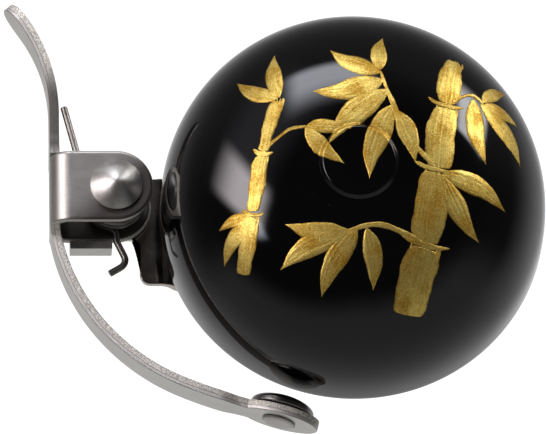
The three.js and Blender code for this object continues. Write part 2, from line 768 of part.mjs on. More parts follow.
// The spring's wire as a list of points. From its cut end the hook runs to the leg, the leg slants up to the
// shelf's end and stands beside it, and an arc takes it into the coil. The coil winds clockwise as seen from
// above and climbs by its pitch. The upper leg leaves it straight along the thumb tab.
function springRoute() {
  const frontLevel = channelFront - springFrontGap;
  const legX = shelfRight + springWire / 2 + pinGap / 2;
  const bend = springBendRadius;
  const bendReach = springRadius + bend;
  const join = 2 * Math.PI - Math.acos((legX - bend - pivotX) / bendReach);
  const upper = THREE.MathUtils.degToRad(springUpperAngle);
  const sweep = join - Math.PI - upper + springTurns * 2 * Math.PI;
  const rise = springPitch * sweep / (2 * Math.PI);
  const backLevel = frontLevel - rise;

  const slant = THREE.MathUtils.degToRad(springLegSlant);
  const hook = THREE.MathUtils.degToRad(springHookAngle);
  const bendX = legX - bend;
  const bendY = pivotY + bendReach * Math.sin(join);
  const elbow = new THREE.Vector3(legX, shelfTop, backLevel);
  const alongLeg = new THREE.Vector3(Math.sin(slant), -Math.cos(slant), 0);
  const alongHook = new THREE.Vector3(-Math.cos(hook), -Math.sin(hook), 0);
  const knee = elbow.clone().addScaledVector(alongLeg, springLegLength);
  const tip = knee.clone().addScaledVector(alongHook, springHookLength);
  const points = [
    tip,
    ...roundedKnee(tip, knee, elbow, bend),
    ...roundedKnee(knee, elbow, new THREE.Vector3(legX, bendY, backLevel), bend),
  ];
  const bendSteps = 6;
  for (let i = 0; i < bendSteps; i += 1) {
    const angle = (join - Math.PI) * i / bendSteps;
    points.push(new THREE.Vector3(bendX + bend * Math.cos(angle), bendY + bend * Math.sin(angle), backLevel));
  }
  const turnSteps = 24;
  const count = Math.round(turnSteps * sweep / (2 * Math.PI));
  for (let i = 0; i <= count; i += 1) {
    const angle = join - sweep * i / count;
    points.push(new THREE.Vector3(
      pivotX + springRadius * Math.cos(angle),
      pivotY + springRadius * Math.sin(angle),
      backLevel + rise * i / count));
  }
  const away = new THREE.Vector3(-Math.sin(upper), Math.cos(upper), 0);
  const last = points[points.length - 1];
  points.push(last.clone().addScaledVector(away, springUpperLength - springWire));
  points.push(last.clone().addScaledVector(away, springUpperLength));
  return points;
}

// The points of an arc that rounds the corner of two straight runs.
function roundedKnee(from, corner, to, radius) {
  const a = from.clone().sub(corner).normalize();
  const b = to.clone().sub(corner).normalize();
  const half = a.angleTo(b) / 2;
  const back = radius / Math.tan(half);
  const middle = a.clone().add(b).normalize().multiplyScalar(radius / Math.sin(half)).add(corner);
  const start = corner.clone().addScaledVector(a, back).sub(middle);
  const end = corner.clone().addScaledVector(b, back).sub(middle);
  const steps = 4;
  const points = [];
  for (let i = 0; i <= steps; i += 1) {
    points.push(start.clone().lerp(end, i / steps).setLength(radius).add(middle));
  }
  return points;
}

// A round wire along a list of points: a ring of corners square to the wire at each point, with closed ends.
// The rings keep one direction along Z, so that the wire doesn't twist.
function wire(points, diameter, sides) {
  const positions = [];
  const up = new THREE.Vector3(0, 0, 1);
  points.forEach((point, i) => {
    const before = points[Math.max(i - 1, 0)];
    const after = points[Math.min(i + 1, points.length - 1)];
    const way = after.clone().sub(before).normalize();
    const across = new THREE.Vector3().crossVectors(up, way).normalize();
    const over = new THREE.Vector3().crossVectors(way, across);
    for (let k = 0; k < sides; k += 1) {
      const angle = 2 * Math.PI * k / sides;
      const corner = point.clone()
        .addScaledVector(across, diameter / 2 * Math.cos(angle))
        .addScaledVector(over, diameter / 2 * Math.sin(angle));
      positions.push(corner.x, corner.y, corner.z);
    }
  });
  const faces = [];
  for (let i = 0; i + 1 < points.length; i += 1) {
    for (let k = 0; k < sides; k += 1) {
      const a = sides * i + k;
      const b = sides * i + (k + 1) % sides;
      faces.push(a, b, b + sides, a, b + sides, a + sides);
    }
  }
  const end = sides * (points.length - 1);
  for (let k = 1; k + 1 < sides; k += 1) {
    faces.push(0, k + 1, k, end, end + k, end + k + 1);
  }
  const geometry = new THREE.BufferGeometry();
  geometry.setAttribute('position', new THREE.Float32BufferAttribute(positions, 3));
  geometry.setIndex(faces);
  return geometry;
}

// The least gap between stretches of the wire that are more than half a turn apart.
function leastGap(points, diameter, apart) {
  let least = Infinity;
  const travelled = [0];
  for (let i = 1; i < points.length; i += 1) {
    travelled.push(travelled[i - 1] + points[i].distanceTo(points[i - 1]));
  }
  for (let i = 0; i < points.length; i += 1) {
    for (let j = i + 1; j < points.length; j += 1) {
      if (travelled[j] - travelled[i] > apart) {
        least = Math.min(least, points[i].distanceTo(points[j]) - diameter);
      }
    }
  }
  return least;
}

// Torsion spring: one unbroken wire.
function torsionSpring() {
  const route = springRoute();
  const gap = leastGap(route, springWire, Math.PI * springRadius);
  console.log(`torsion spring: least gap to itself ${gap.toFixed(2)} mm`);
  return piece('torsion_spring', wire(route, springWire, 6), steel);
}

const bell = new THREE.Group();
bell.add(
  dome(), crownScrew(), ...postParts(), postScrew(),
  baseBracket(), strapBand(), strapLiner(), ...clampParts(),
  lever(), strikerHead(), ...pivotParts(), torsionSpring(),
);

export default bell;
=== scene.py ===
import math

import bmesh
import bpy
import numpy as np
from mathutils import Matrix, Vector


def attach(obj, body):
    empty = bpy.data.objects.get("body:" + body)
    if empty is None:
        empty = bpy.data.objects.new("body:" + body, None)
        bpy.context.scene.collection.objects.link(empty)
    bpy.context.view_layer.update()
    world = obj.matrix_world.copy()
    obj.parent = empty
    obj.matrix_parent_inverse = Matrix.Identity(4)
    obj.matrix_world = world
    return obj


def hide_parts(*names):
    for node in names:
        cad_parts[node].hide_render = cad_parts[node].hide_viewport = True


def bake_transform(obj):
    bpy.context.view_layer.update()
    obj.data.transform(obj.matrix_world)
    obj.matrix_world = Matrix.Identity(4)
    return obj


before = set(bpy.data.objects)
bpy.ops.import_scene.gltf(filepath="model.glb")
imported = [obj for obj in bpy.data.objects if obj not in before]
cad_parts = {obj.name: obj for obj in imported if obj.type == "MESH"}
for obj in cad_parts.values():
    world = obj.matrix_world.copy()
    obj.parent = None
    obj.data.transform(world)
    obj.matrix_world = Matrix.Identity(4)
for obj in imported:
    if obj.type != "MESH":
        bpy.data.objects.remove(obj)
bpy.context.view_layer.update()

# Sizes in millimetres, as the solids have them but for CHANNEL_BEND, which is 2.4 there
MM = 0.001
DOME_RADIUS = 27.5
DOME_HEIGHT = 23.1
DOME_POWER = 2.58
DOME_WALL = 1.3
DOME_SKIRT = 1.5
EQUATOR = 29.95
CROWN_SEAT_RADIUS = 6.2
DISC_RADIUS = 5.7
DISC_TOP_RADIUS = 5.1
DISC_HEIGHT = 0.6
PLATE_TOP = 21.75
SHELF_RIGHT = -34.1
BRACKET_SHEET = 1.2
CHANNEL_BACK = 22.3
CHANNEL_FRONT = 33.05
LEVER_MIDDLE = (CHANNEL_BACK + CHANNEL_FRONT) / 2
LEVER_SHEET = 1.4
CHANNEL_BEND = 3.0
EAR_RADIUS = 5.25
PIVOT = (-33.7, 3.15)
WEB_FACE = -43.1
WEB_LENGTH = 2 * EAR_RADIUS
WEB_X = WEB_FACE + LEVER_SHEET / 2
FLAT_HALF = (CHANNEL_FRONT - CHANNEL_BACK) / 2 - CHANNEL_BEND
THUMB_STRAIGHT = 6.6
THUMB_TURN = 43
THUMB_LENGTH = THUMB_STRAIGHT + math.radians(THUMB_TURN) * 24.3
TIP_LENGTH = 3.4
PAD_REACH = 5.65
PAD_ANGLE = math.radians(19.6)
PAD_CENTRE = -31.6 * np.array([math.sin(PAD_ANGLE), math.cos(PAD_ANGLE)])


# Lines and surfaces


def grid_faces(rows, columns, closed=False):
    """Quads between the neighbouring rows and columns of a grid of points that are numbered row by row. Each
    row runs round, from its last column to its first; a closed grid also joins its last row to its first."""
    row, column = np.meshgrid(np.arange(rows if closed else rows - 1), np.arange(columns), indexing="ij")
    next_row, next_column = (row + 1) % rows, (column + 1) % columns
    corners = [
        row * columns + column,
        row * columns + next_column,
        next_row * columns + next_column,
        next_row * columns + column,
    ]
    return np.stack(corners, axis=-1).reshape(-1, 4)


def bent_line(x, y, heading, runs):
    """A line that runs straight or bends, each run a length and a turn in degrees. The heading is the running
    sum of the turns, and the place is the running sum of short steps along the heading. Gives the distance
    travelled, x, y and the heading as arrays."""
    step = 0.05
    lengths, turns = [], []
    for length, turn in runs:
        count = max(1, math.ceil(length / step))
        lengths.append(np.full(count, length / count))
        turns.append(np.full(count, math.radians(turn) / count))
    lengths, turns = np.concatenate(lengths), np.concatenate(turns)
    after = math.radians(heading) + np.cumsum(turns)
    middle = after - turns / 2
    start = [0.0]
    return (
        np.concatenate([start, np.cumsum(lengths)]),
        np.concatenate([start, np.cumsum(lengths * np.cos(middle))]) + x,
        np.concatenate([start, np.cumsum(lengths * np.sin(middle))]) + y,
        np.concatenate([[math.radians(heading)], after]),
    )


def smoothstep(value, low, high):
    """The smooth rise 3x^2 - 2x^3 from 0 at low to 1 at high."""
    x = np.clip((value - low) / (high - low), 0, 1)
    return x * x * (3 - 2 * x)


def distances(points):
    """The distance travelled along a line, at its points."""
    return np.concatenate([[0], np.cumsum(np.linalg.norm(np.diff(points, axis=0), axis=1))])


def even(points, gap):
    """The same line with points spaced evenly along its length, by linear interpolation."""
    travelled = distances(points)
    places = np.linspace(0, travelled[-1], max(2, math.ceil(travelled[-1] / gap) + 1))
    return np.stack([np.interp(places, travelled, points[:, k]) for k in range(points.shape[1])], axis=1)


def tangents(points):
    """The unit vectors along a line, at its points."""
    way = np.gradient(points, axis=0)
    return way / np.maximum(np.linalg.norm(way, axis=1), 1e-9)[:, None]


def left_of(way):
    """A way in the plane turned by a quarter to its left."""
    return np.stack([-way[..., 1], way[..., 0]], axis=-1)


def corner_arc(before, corner, after, radius, steps):
    """The arc that touches both sides of a corner: its first and last points seen from its middle, mixed by
    the sines of the angles still to go and gone. Also gives the unit vectors back and ahead along them."""
    back, ahead = before - corner, after - corner
    back, ahead = back / np.linalg.norm(back), ahead / np.linalg.norm(ahead)
    half = math.acos(np.clip(back @ ahead, -1, 1)) / 2
    reach = radius / math.tan(half)
    middle = corner + (back + ahead) / np.linalg.norm(back + ahead) * radius / math.sin(half)
    first, last = corner + back * reach - middle, corner + ahead * reach - middle
    part = np.linspace(0, 1, steps + 1)[:, None]
    spread = math.pi - 2 * half
    arc = middle + (np.sin((1 - part) * spread) * first + np.sin(part * spread) * last) / math.sin(spread)
    return arc, back, ahead


def rounded(corners):
    """A profile through corners (x, y, radius). Each corner gives way to an arc that touches both its sides,
    and one more point on each side, close to the arc, keeps the flat shaded flat."""
    points = np.array([c[:2] for c in corners], float)
    out = []
    for i, (_, _, radius) in enumerate(corners):
        if i in (0, len(points) - 1) or radius == 0:
            out.append(points[i])
            continue
        arc, back, ahead = corner_arc(points[i - 1], points[i], points[i + 1], radius, 5)
        out.extend([arc[0] + back * radius / 2, *arc, arc[-1] + ahead * radius / 2])
    return np.array(out)


def arc_points(x, y, radius, start, end, count=8):
    """Points on an arc between two angles in degrees."""
    angle = np.radians(np.linspace(start, end, count))
    return np.stack([x + radius * np.cos(angle), y + radius * np.sin(angle)], axis=1)


def turned(profile, steps, closed=False):
    """A profile (radius, height) carried round the Z axis: x = r cos a, y = r sin a, z = height."""
    angle = np.linspace(0, 2 * math.pi, steps, endpoint=False)
    r, z = profile[:, :1], profile[:, 1:]
    points = np.stack(np.broadcast_arrays(r * np.cos(angle), r * np.sin(angle), z), axis=-1)
    return points.reshape(-1, 3), grid_faces(len(profile), steps, closed)


def pointed(points, direction, origin):
    """The points with their Z axis turned to a direction and their origin moved."""
    turn = Vector((0, 0, 1)).rotation_difference(Vector(direction)).to_matrix()
    return points @ np.array(turn).T + np.array(origin)


def tube(route, radius):
    """A round wire: at each point of the route a ring square to it, carried along without twist because each
    ring's first axis is the last one's less its share along the wire. Both ends are flat, with a small
    chamfer."""
    sides, chamfer = 20, radius * 0.16
    way = tangents(route)
    across = np.empty_like(way)
    axis = np.array([0.0, 0.0, 1.0])
    for i, w in enumerate(way):
        axis = axis - (axis @ w) * w
        axis /= np.linalg.norm(axis)
        across[i] = axis
    over = np.cross(way, across)
    centres = np.concatenate([route[:1], route[:1], route[:1] + way[:1] * chamfer, route[1:-1],
                              route[-1:] - way[-1:] * chamfer, route[-1:], route[-1:]])
    pick = np.concatenate([[0, 0, 0], np.arange(1, len(route) - 1), [-1, -1, -1]])
    size = np.full(len(centres), radius)
    size[[0, -1]] = 0
    size[[1, -2]] = radius - chamfer
    angle = np.linspace(0, 2 * math.pi, sides, endpoint=False)[:, None]
    ring = across[pick][:, None] * np.cos(angle) + over[pick][:, None] * np.sin(angle)
    points = centres[:, None] + ring * size[:, None, None]
    return points.reshape(-1, 3), grid_faces(len(centres), sides)


def bent_sheet(high, low, thickness, corner, torn=0.0):
    """A sheet to be bent along a line. high and low are its two edges as rows of (distance along the line,
    place across it). At each row the section goes up the high edge's wall, over the upper face, down the low
    edge's wall and back under. A rounded corner lies in from the edge along the edge's own normal, so that it
    also runs round a closed end. Where the shear has torn the wall, it leans in by a length, on the upper
    side if that is positive and on the lower side if it is negative. Gives grid coordinates (distance,
    across, through) and how far each point is on an edge wall."""

    def outward(edge, side):
        return left_of(tangents(edge)) * side

    half = thickness / 2
    arc = np.linspace(0, math.pi / 2, 5)
    level = np.concatenate([-half + corner - corner * np.cos(arc), [-half * 0.4, 0, half * 0.4],
                            half - corner + corner * np.sin(arc)])
    inset = np.concatenate([corner - corner * np.sin(arc), [0, 0, 0], corner - corner * np.cos(arc)])
    lean = abs(torn) * np.clip(0.2 + 0.8 * np.sign(torn) * level / half, 0, 1)
    wall = np.concatenate([arc, [math.pi / 2] * 3, arc[::-1]]) / (math.pi / 2)

    def edge_wall(edge, side):
        return edge[:, None] - outward(edge, side)[:, None] * (inset + lean)[..., None]

    up, down = edge_wall(high, 1), edge_wall(low, -1)[:, ::-1]
    part = np.concatenate([[0.02], np.linspace(0, 1, 9)[1:-1], [0.98]])[:, None]
    top = up[:, -1:] * (1 - part) + down[:, :1] * part
    bottom = down[:, -1:] * (1 - part) + up[:, :1] * part
    flat = np.full(len(part), half)
    plane = np.concatenate([up, top, down, bottom], axis=1)
    through = np.concatenate([level, flat, level[::-1], -flat])
    on_wall = np.concatenate([wall, np.zeros(len(part)), wall[::-1], np.zeros(len(part))])
    rows, columns = plane.shape[:2]
    through = np.broadcast_to(through, (rows, columns))
    on_wall = np.broadcast_to(on_wall, (rows, columns))
    return np.dstack([plane, through]), on_wall


def along_line(line, sheet, basis, middle):
    """Takes a sheet's (distance, across, through) to places: the line's own point, moved through the sheet
    along the line's left normal in the plane of the first two basis vectors, and across along the third."""
    travelled, x, y, heading = line
    distance, across, through = sheet[..., 0], sheet[..., 1], sheet[..., 2]
    angle = np.interp(distance, travelled, heading)
    u = np.interp(distance, travelled, x) - through * np.sin(angle)
    v = np.interp(distance, travelled, y) + through * np.cos(angle)
    basis = np.array(basis, float)
    return u[..., None] * basis[0] + v[..., None] * basis[1] + (across + middle)[..., None] * basis[2]


def edge_pair(rows, half):
    """The two edges of a sheet that is as wide on both sides, as rows of (distance along, place across)."""
    return np.stack([rows, half], axis=1), np.stack([rows, -half], axis=1)


def closed_ends(grid):
    """The grid with a row more at each end, drawn together to the middle of the last row."""
    first = np.broadcast_to(grid[:1].mean(axis=1, keepdims=True), grid[:1].shape)
    last = np.broadcast_to(grid[-1:].mean(axis=1, keepdims=True), grid[-1:].shape)
    return np.concatenate([first, grid, last])


# Making pieces


def make_piece(name, points, faces, material, body, nodes=(), attributes=None, crease=40):
    """A closed mesh from points in millimetres: doubles merged, faces turned outwards, and shaded smooth up
    to the crease angle. It rides on its body where that is a name, and stays where it is otherwise, and
    stands for the solids it replaces."""
    mesh = bpy.data.meshes.new(name)
    mesh.vertices.add(len(points))
    mesh.vertices.foreach_set("co", (np.asarray(points) * MM).ravel())
    mesh.loops.add(faces.size)
    mesh.loops.foreach_set("vertex_index", faces.ravel().astype(np.int32))
    mesh.polygons.add(len(faces))
    mesh.polygons.foreach_set("loop_start", (np.arange(len(faces)) * 4).astype(np.int32))
    for label, values in (attributes or {}).items():
        values = np.asarray(values, float)
        kind, field = ("FLOAT", "value") if values.ndim == 1 else ("FLOAT_VECTOR", "vector")
        mesh.attributes.new(label, kind, "POINT").data.foreach_set(field, values.ravel())
    mesh.update(calc_edges=True)
    finish_piece(name, mesh, material, body, nodes, crease)


def finish_piece(name, mesh, material, body, nodes, crease):
    """Merges, turns outwards, shades, and puts the mesh into the scene on its body."""
    work = bmesh.new()
    work.from_mesh(mesh)
    bmesh.ops.remove_doubles(work, verts=work.verts, dist=1e-7)
    bmesh.ops.dissolve_degenerate(work, edges=work.edges, dist=1e-8)
    bmesh.ops.recalc_face_normals(work, faces=work.faces)
    work.to_mesh(mesh)
    work.free()
    mesh.polygons.foreach_set("use_smooth", np.ones(len(mesh.polygons), bool))
    mesh.set_sharp_from_angle(angle=math.radians(crease))
    mesh.materials.clear()
    mesh.materials.append(material)
    obj = bpy.data.objects.new(name, mesh)
    bpy.context.scene.collection.objects.link(obj)
    if isinstance(body, str):
        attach(obj, body)
    else:
        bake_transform(obj)
    if nodes:
        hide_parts(*nodes)
    return obj


def make_bent_piece(name, points, material, body, nodes=(), sheet=None, wall=None):
    """A bent sheet's grid of points, drawn together at both ends. Where they are given, the mesh carries the
    sheet's own coordinates and how far each point is on an edge wall."""
    rows, columns = points.shape[:2]
    attributes = {}
    if sheet is not None:
        attributes = {"sheet": closed_ends(sheet).reshape(-1, 3),
                      "wall": closed_ends(wall[..., None]).ravel()}
    make_piece(name, closed_ends(points).reshape(-1, 3), grid_faces(rows + 2, columns),
               material, body, nodes, attributes)


def refined(node, name, material, body):
    """A solid's own shape, merged and smooth, with its sharp edges broken by a small bevel."""
    sharp, width = 28, 0.12
    obj = finish_piece(name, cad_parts[node].data.copy(), material, body, [node], sharp)
    bevel = obj.modifiers.new("broken edges", "BEVEL")
    bevel.width = width * MM
    bevel.segments = 2
    bevel.limit_method = "ANGLE"
    bevel.angle_limit = math.radians(sharp)
    bevel.use_clamp_overlap = True


# Materials


def add(tree, kind, inputs=None, **settings):
    """Adds a node with its settings; an input is linked where it is given a socket, and set otherwise."""
    made = tree.nodes.new(kind)
    for key, value in settings.items():
        setattr(made, key, value)
    for key, value in (inputs or {}).items():
        if isinstance(value, bpy.types.NodeSocket):
            tree.links.new(value, made.inputs[key])
        else:
            made.inputs[key].default_value = value
    return made


def new_group(name, inputs, outputs):
    """A shader node group with its named sockets, its input node's outputs and its output node."""
    group = bpy.data.node_groups.new(name, "ShaderNodeTree")
    for label, kind, value in inputs:
        socket = group.interface.new_socket(label, in_out="INPUT", socket_type=kind)
        if value is not None:
            socket.default_value = value
    for label, kind in outputs:
        group.interface.new_socket(label, in_out="OUTPUT", socket_type=kind)
    return group, group.nodes.new("NodeGroupInput").outputs, group.nodes.new("NodeGroupOutput")


def place_group(tree, group, **inputs):
    """A group placed in a material with its own values; an underscore in a name stands for a space."""
    return add(tree, "ShaderNodeGroup", {k.replace("_", " "): v for k, v in inputs.items()}, node_tree=group)


def math_node(tree, operation, a, b=0.0, clamp=False):
    """What an operation on two numbers or sockets gives."""
    return add(tree, "ShaderNodeMath", {0: a, 1: b}, operation=operation, use_clamp=clamp).outputs[0]


def plus(tree, a, b):
    """The sum of two numbers or sockets."""
    return math_node(tree, "ADD", a, b)


def times(tree, a, b):
    """The product of two numbers or sockets."""
    return math_node(tree, "MULTIPLY", a, b)


def ramp(tree, value, low, high, to_low=0.0, to_high=1.0):
    """A smooth rise between two numbers while a value goes from one limit to the other."""
    inputs = {"Value": value, "From Min": low, "From Max": high, "To Min": to_low, "To Max": to_high}
    return add(tree, "ShaderNodeMapRange", inputs, interpolation_type="SMOOTHSTEP").outputs["Result"]


def mix_colour(tree, factor, a, b):
    """A colour between two, by a factor."""
    made = add(tree, "ShaderNodeMix", data_type="RGBA")
    for key, value in (("Factor_Float", factor), ("A_Color", a), ("B_Color", b)):
        socket = next(s for s in made.inputs if s.identifier == key)
        if isinstance(value, bpy.types.NodeSocket):
            tree.links.new(value, socket)
        else:
            socket.default_value = value
    return next(s for s in made.outputs if s.identifier == "Result_Color")


def attribute(tree, name, output="Fac"):
    """A value or a vector that the mesh carries at its points."""
    return add(tree, "ShaderNodeAttribute", attribute_name=name).outputs[output]


def noise(tree, place, scale, detail, roughness=0.5):
    """Blender's noise at a place."""
    inputs = {"Vector": place, "Scale": scale, "Detail": detail, "Roughness": roughness}
    return add(tree, "ShaderNodeTexNoise", inputs).outputs["Fac"]


def feed(shader, label, socket):
    """Links a socket to an input of the shader."""
    shader.id_data.links.new(socket, shader.inputs[label])


def make_brushed_lines():
    """Fine lines drawn out along one way: noise read at a different scale along each axis."""
    group, given, out = new_group(
        "brushed lines",
        [("Vector", "NodeSocketVector", None), ("Scale", "NodeSocketVector", (1, 1, 1)),
         ("Detail", "NodeSocketFloat", 3.0)],
        [("Lines", "NodeSocketFloat")])
    scaled = add(group, "ShaderNodeVectorMath", {0: given["Vector"], 1: given["Scale"]}, operation="MULTIPLY")
    group.links.new(noise(group, scaled.outputs[0], 1.0, given["Detail"], 0.65), out.inputs["Lines"])
    return group


def make_mottle():
    """A soft cloudy variation between two values: noise stretched over a smooth rise."""
    group, given, out = new_group(
        "mottle",
        [("Vector", "NodeSocketVector", None), ("Scale", "NodeSocketFloat", 200.0),
         ("Low", "NodeSocketFloat", 0.0), ("High", "NodeSocketFloat", 1.0)],
        [("Value", "NodeSocketFloat")])
    clouds = noise(group, given["Vector"], given["Scale"], 4.0, 0.6)
    group.links.new(ramp(group, clouds, 0.32, 0.68, given["Low"], given["High"]), out.inputs["Value"])
    return group


def make_dust():
    """Sparse small specks: the near places of a Voronoi pattern, kept where a wide noise is high."""
    group, given, out = new_group(
        "dust",
        [("Vector", "NodeSocketVector", None), ("Scale", "NodeSocketFloat", 900.0),
         ("Size", "NodeSocketFloat", 0.12), ("Amount", "NodeSocketFloat", 0.5)],
        [("Specks", "NodeSocketFloat")])
    cells = add(group, "ShaderNodeTexVoronoi", {"Vector": given["Vector"], "Scale": given["Scale"]})
    patches = noise(group, given["Vector"], 180.0, 2.0)
    near = math_node(group, "LESS_THAN", cells.outputs["Distance"], given["Size"])
    kept = math_node(group, "GREATER_THAN", patches, given["Amount"])
    group.links.new(times(group, near, kept), out.inputs["Specks"])
    return group


BRUSHED_LINES = make_brushed_lines()
MOTTLE = make_mottle()
DUST = make_dust()


def drawn_lines(tree, place, scale, detail):
    """The group of brushed lines, placed with its own values."""
    return place_group(tree, BRUSHED_LINES, Vector=place, Scale=scale, Detail=detail).outputs["Lines"]


def mottled(tree, place, scale, low=0.0, high=1.0):
    """The group of cloudy variation, placed with its own values."""
    return place_group(tree, MOTTLE, Vector=place, Scale=scale, Low=low, High=high).outputs["Value"]


def start_material(name, **fixed):
    """A material with one Principled shader whose constant values are set on its own sockets."""
    material = bpy.data.materials.new(name)
    material.use_nodes = True
    tree = material.node_tree
    shader = tree.nodes["Principled BSDF"]
    for key, value in fixed.items():
        shader.inputs[key.replace("_", " ")].default_value = value
    place = add(tree, "ShaderNodeTexCoord").outputs["Object"]
    return material, tree, shader, place


def bump(tree, shader, height, strength, distance):
    """Feeds a height to the shader's normal."""
    made = add(tree, "ShaderNodeBump", {"Height": height, "Strength": strength, "Distance": distance * MM})
    feed(shader, "Normal", made.outputs[0])


def make_black_lacquer():
    """Deep gloss black: faint smudges in the gloss, a slight unevenness of the coat and a few dust specks."""
    material, tree, shader, place = start_material("black lacquer", IOR=1.5, Metallic=0.0)
    tint = mottled(tree, place, 90.0)
    black = mix_colour(tree, tint, (0.0009, 0.0008, 0.0012, 1), (0.0016, 0.0014, 0.0018, 1))
    feed(shader, "Base Color", black)
    smudge = mottled(tree, place, 60.0, 0.035, 0.075)
    specks = place_group(tree, DUST, Vector=place, Scale=700.0, Size=0.09, Amount=0.6).outputs["Specks"]
    feed(shader, "Roughness", plus(tree, smudge, times(tree, specks, 0.25)))
    bump(tree, shader, noise(tree, place, 260.0, 2.0), 0.05, 0.02)
    return material


def make_gold_paint():
    """Brushed gold paint: faint streaks drawn along each stroke, cloudy thick and thin places, a darker
    outline where the paint thins, and fine glitter in its colour and its surface."""
    material, tree, shader, place = start_material("gold paint", Metallic=0.9, IOR=1.5)
    streaks = drawn_lines(tree, attribute(tree, "stroke", "Vector"), (0.25, 3.6, 1.0), 3.0)
    clouds = mottled(tree, place, 330.0)
    glitter = noise(tree, place, 4200.0, 2.0)
    half_streaks = times(tree, streaks, 0.5)
    body = plus(tree, half_streaks, times(tree, clouds, 0.22))
    body = plus(tree, body, times(tree, glitter, 0.62))
    paint = mix_colour(tree, ramp(tree, body, 0.42, 0.95), (0.45, 0.235, 0.014, 1), (0.96, 0.74, 0.2, 1))
    edge = ramp(tree, plus(tree, attribute(tree, "thin"), half_streaks), 1.1, 1.34)
    feed(shader, "Base Color", mix_colour(tree, edge, paint, (0.1, 0.045, 0.004, 1)))
    feed(shader, "Roughness", ramp(tree, body, 0.4, 1.0, 0.54, 0.36))
    bump(tree, shader, plus(tree, half_streaks, glitter), 0.7, 0.06)
    return material


def ear_painted_shade(tree, along, across):
    """Painted shade: an ear's face is painted darker towards its round end and its lower side."""
    return ramp(tree, math_node(tree, "SUBTRACT", along, across), 6.0, 12.5, 0.0, 0.9), 0.0


def tab_painted_shade(tree, along, across):
    """Painted shade: the sheared edge of the thumb tab's neck is painted dark."""
    neck = times(tree, ramp(tree, along, -15.5, -9.0), ramp(tree, along, 2.6, -2.0))
    return 0.0, times(tree, neck, 0.9)


def make_lever_steel(name, painted_shade, pale, polish):
    """Stainless sheet: fine lines on its outer face, painted shade on its inner one, and a sheared edge that
    is torn and pale towards the inside, then a thin dark line, a smooth band and a brown line at the outer
    corner. The painted shade it is given darkens parts of its outer face and of its edge. Depths through it
    are shares of its thickness."""
    material, tree, shader, place = start_material(name, Metallic=1.0)
    sheet = attribute(tree, "sheet", "Vector")
    on_wall = ramp(tree, attribute(tree, "wall"), 0.35, 0.65)
    parts = add(tree, "ShaderNodeSeparateXYZ", {"Vector": sheet}).outputs
    through = parts["Z"]
    lines = drawn_lines(tree, sheet, (0.5, 14.0, 14.0), 5.0)
    grains = noise(tree, place, 4200.0, 5.0, 0.7)
    depth = plus(tree, through, mottled(tree, place, 260.0, -0.04, 0.04))
    torn = ramp(tree, depth, -0.12, -0.07)
    dark_line = times(tree, ramp(tree, depth, -0.17, -0.13), ramp(tree, depth, -0.07, -0.11))
    # Painted shade that darkens parts of the outer face and of the edge.
    painted_shade_on_face, painted_shade_on_edge = painted_shade(tree, parts["X"], parts["Y"])

    dim = tuple(0.76 * value for value in pale[:3]) + (1,)
    face = mix_colour(tree, ramp(tree, lines, 0.3, 0.75), dim, pale)
    # Painted shade on the outer face.
    face = mix_colour(tree, painted_shade_on_face, face, (0.09, 0.075, 0.065, 1))
    # Painted shade: the inner face is painted darker.
    face = mix_colour(tree, ramp(tree, through, 0.42, 0.48), face, (0.19, 0.17, 0.155, 1))
    rough = mix_colour(tree, ramp(tree, grains, 0.38, 0.6), (0.6, 0.56, 0.5, 1), (1.0, 0.98, 0.92, 1))
    smooth = mix_colour(tree, ramp(tree, lines, 0.3, 0.7), (0.72, 0.7, 0.67, 1), (0.9, 0.88, 0.85, 1))
    cut = mix_colour(tree, torn, smooth, rough)
    cut = mix_colour(tree, times(tree, dark_line, 0.7), cut, (0.16, 0.14, 0.12, 1))
    cut = mix_colour(tree, ramp(tree, through, -0.4, -0.46, 0.0, 0.75), cut, (0.18, 0.13, 0.1, 1))
    # Painted shade on the sheared edge.
    cut = mix_colour(tree, painted_shade_on_edge, cut, (0.12, 0.11, 0.1, 1))
    feed(shader, "Base Color", mix_colour(tree, on_wall, face, cut))

    torn = times(tree, torn, on_wall)
    gloss = plus(tree, ramp(tree, lines, 0.2, 0.8, polish, polish + 0.1),
                 times(tree, mottled(tree, place, 240.0), 0.05))
    duller = plus(tree, times(tree, torn, 0.1), times(tree, on_wall, 0.22))
    feed(shader, "Roughness", plus(tree, gloss, duller))
    height = plus(tree, times(tree, lines, 0.35), times(tree, times(tree, grains, torn), 3.0))
    bump(tree, shader, height, 0.5, 0.03)
    return material


def make_metal(name, dark, pale, roughness, lines_scale, clouds_scale=250.0, bump_strength=0.3):
    """A metal finish with fine lines, cloudy gloss and a colour that moves a little between two tones."""
    material, tree, shader, place = start_material(name, Metallic=1.0)
    lines = drawn_lines(tree, place, lines_scale, 4.0)
    tone = plus(tree, times(tree, lines, 0.6), times(tree, mottled(tree, place, clouds_scale), 0.4))
    feed(shader, "Base Color", mix_colour(tree, ramp(tree, tone, 0.2, 0.8), dark, pale))
    feed(shader, "Roughness", ramp(tree, tone, 0.1, 0.9, *roughness))
    bump(tree, shader, lines, bump_strength, 0.02)
    return material


def make_soft_stuff(name, dark, pale, roughness, grain):
    """A dull unmetallic stuff such as rubber or pressed fibre: cloudy colour and a fine grain."""
    material, tree, shader, place = start_material(name, Metallic=0.0, IOR=1.5)
    clouds = mottled(tree, place, 300.0)
    feed(shader, "Base Color", mix_colour(tree, clouds, dark, pale))
    feed(shader, "Roughness", ramp(tree, clouds, 0.0, 1.0, *roughness))
    bump(tree, shader, noise(tree, place, grain, 4.0), 0.5, 0.04)
    return material


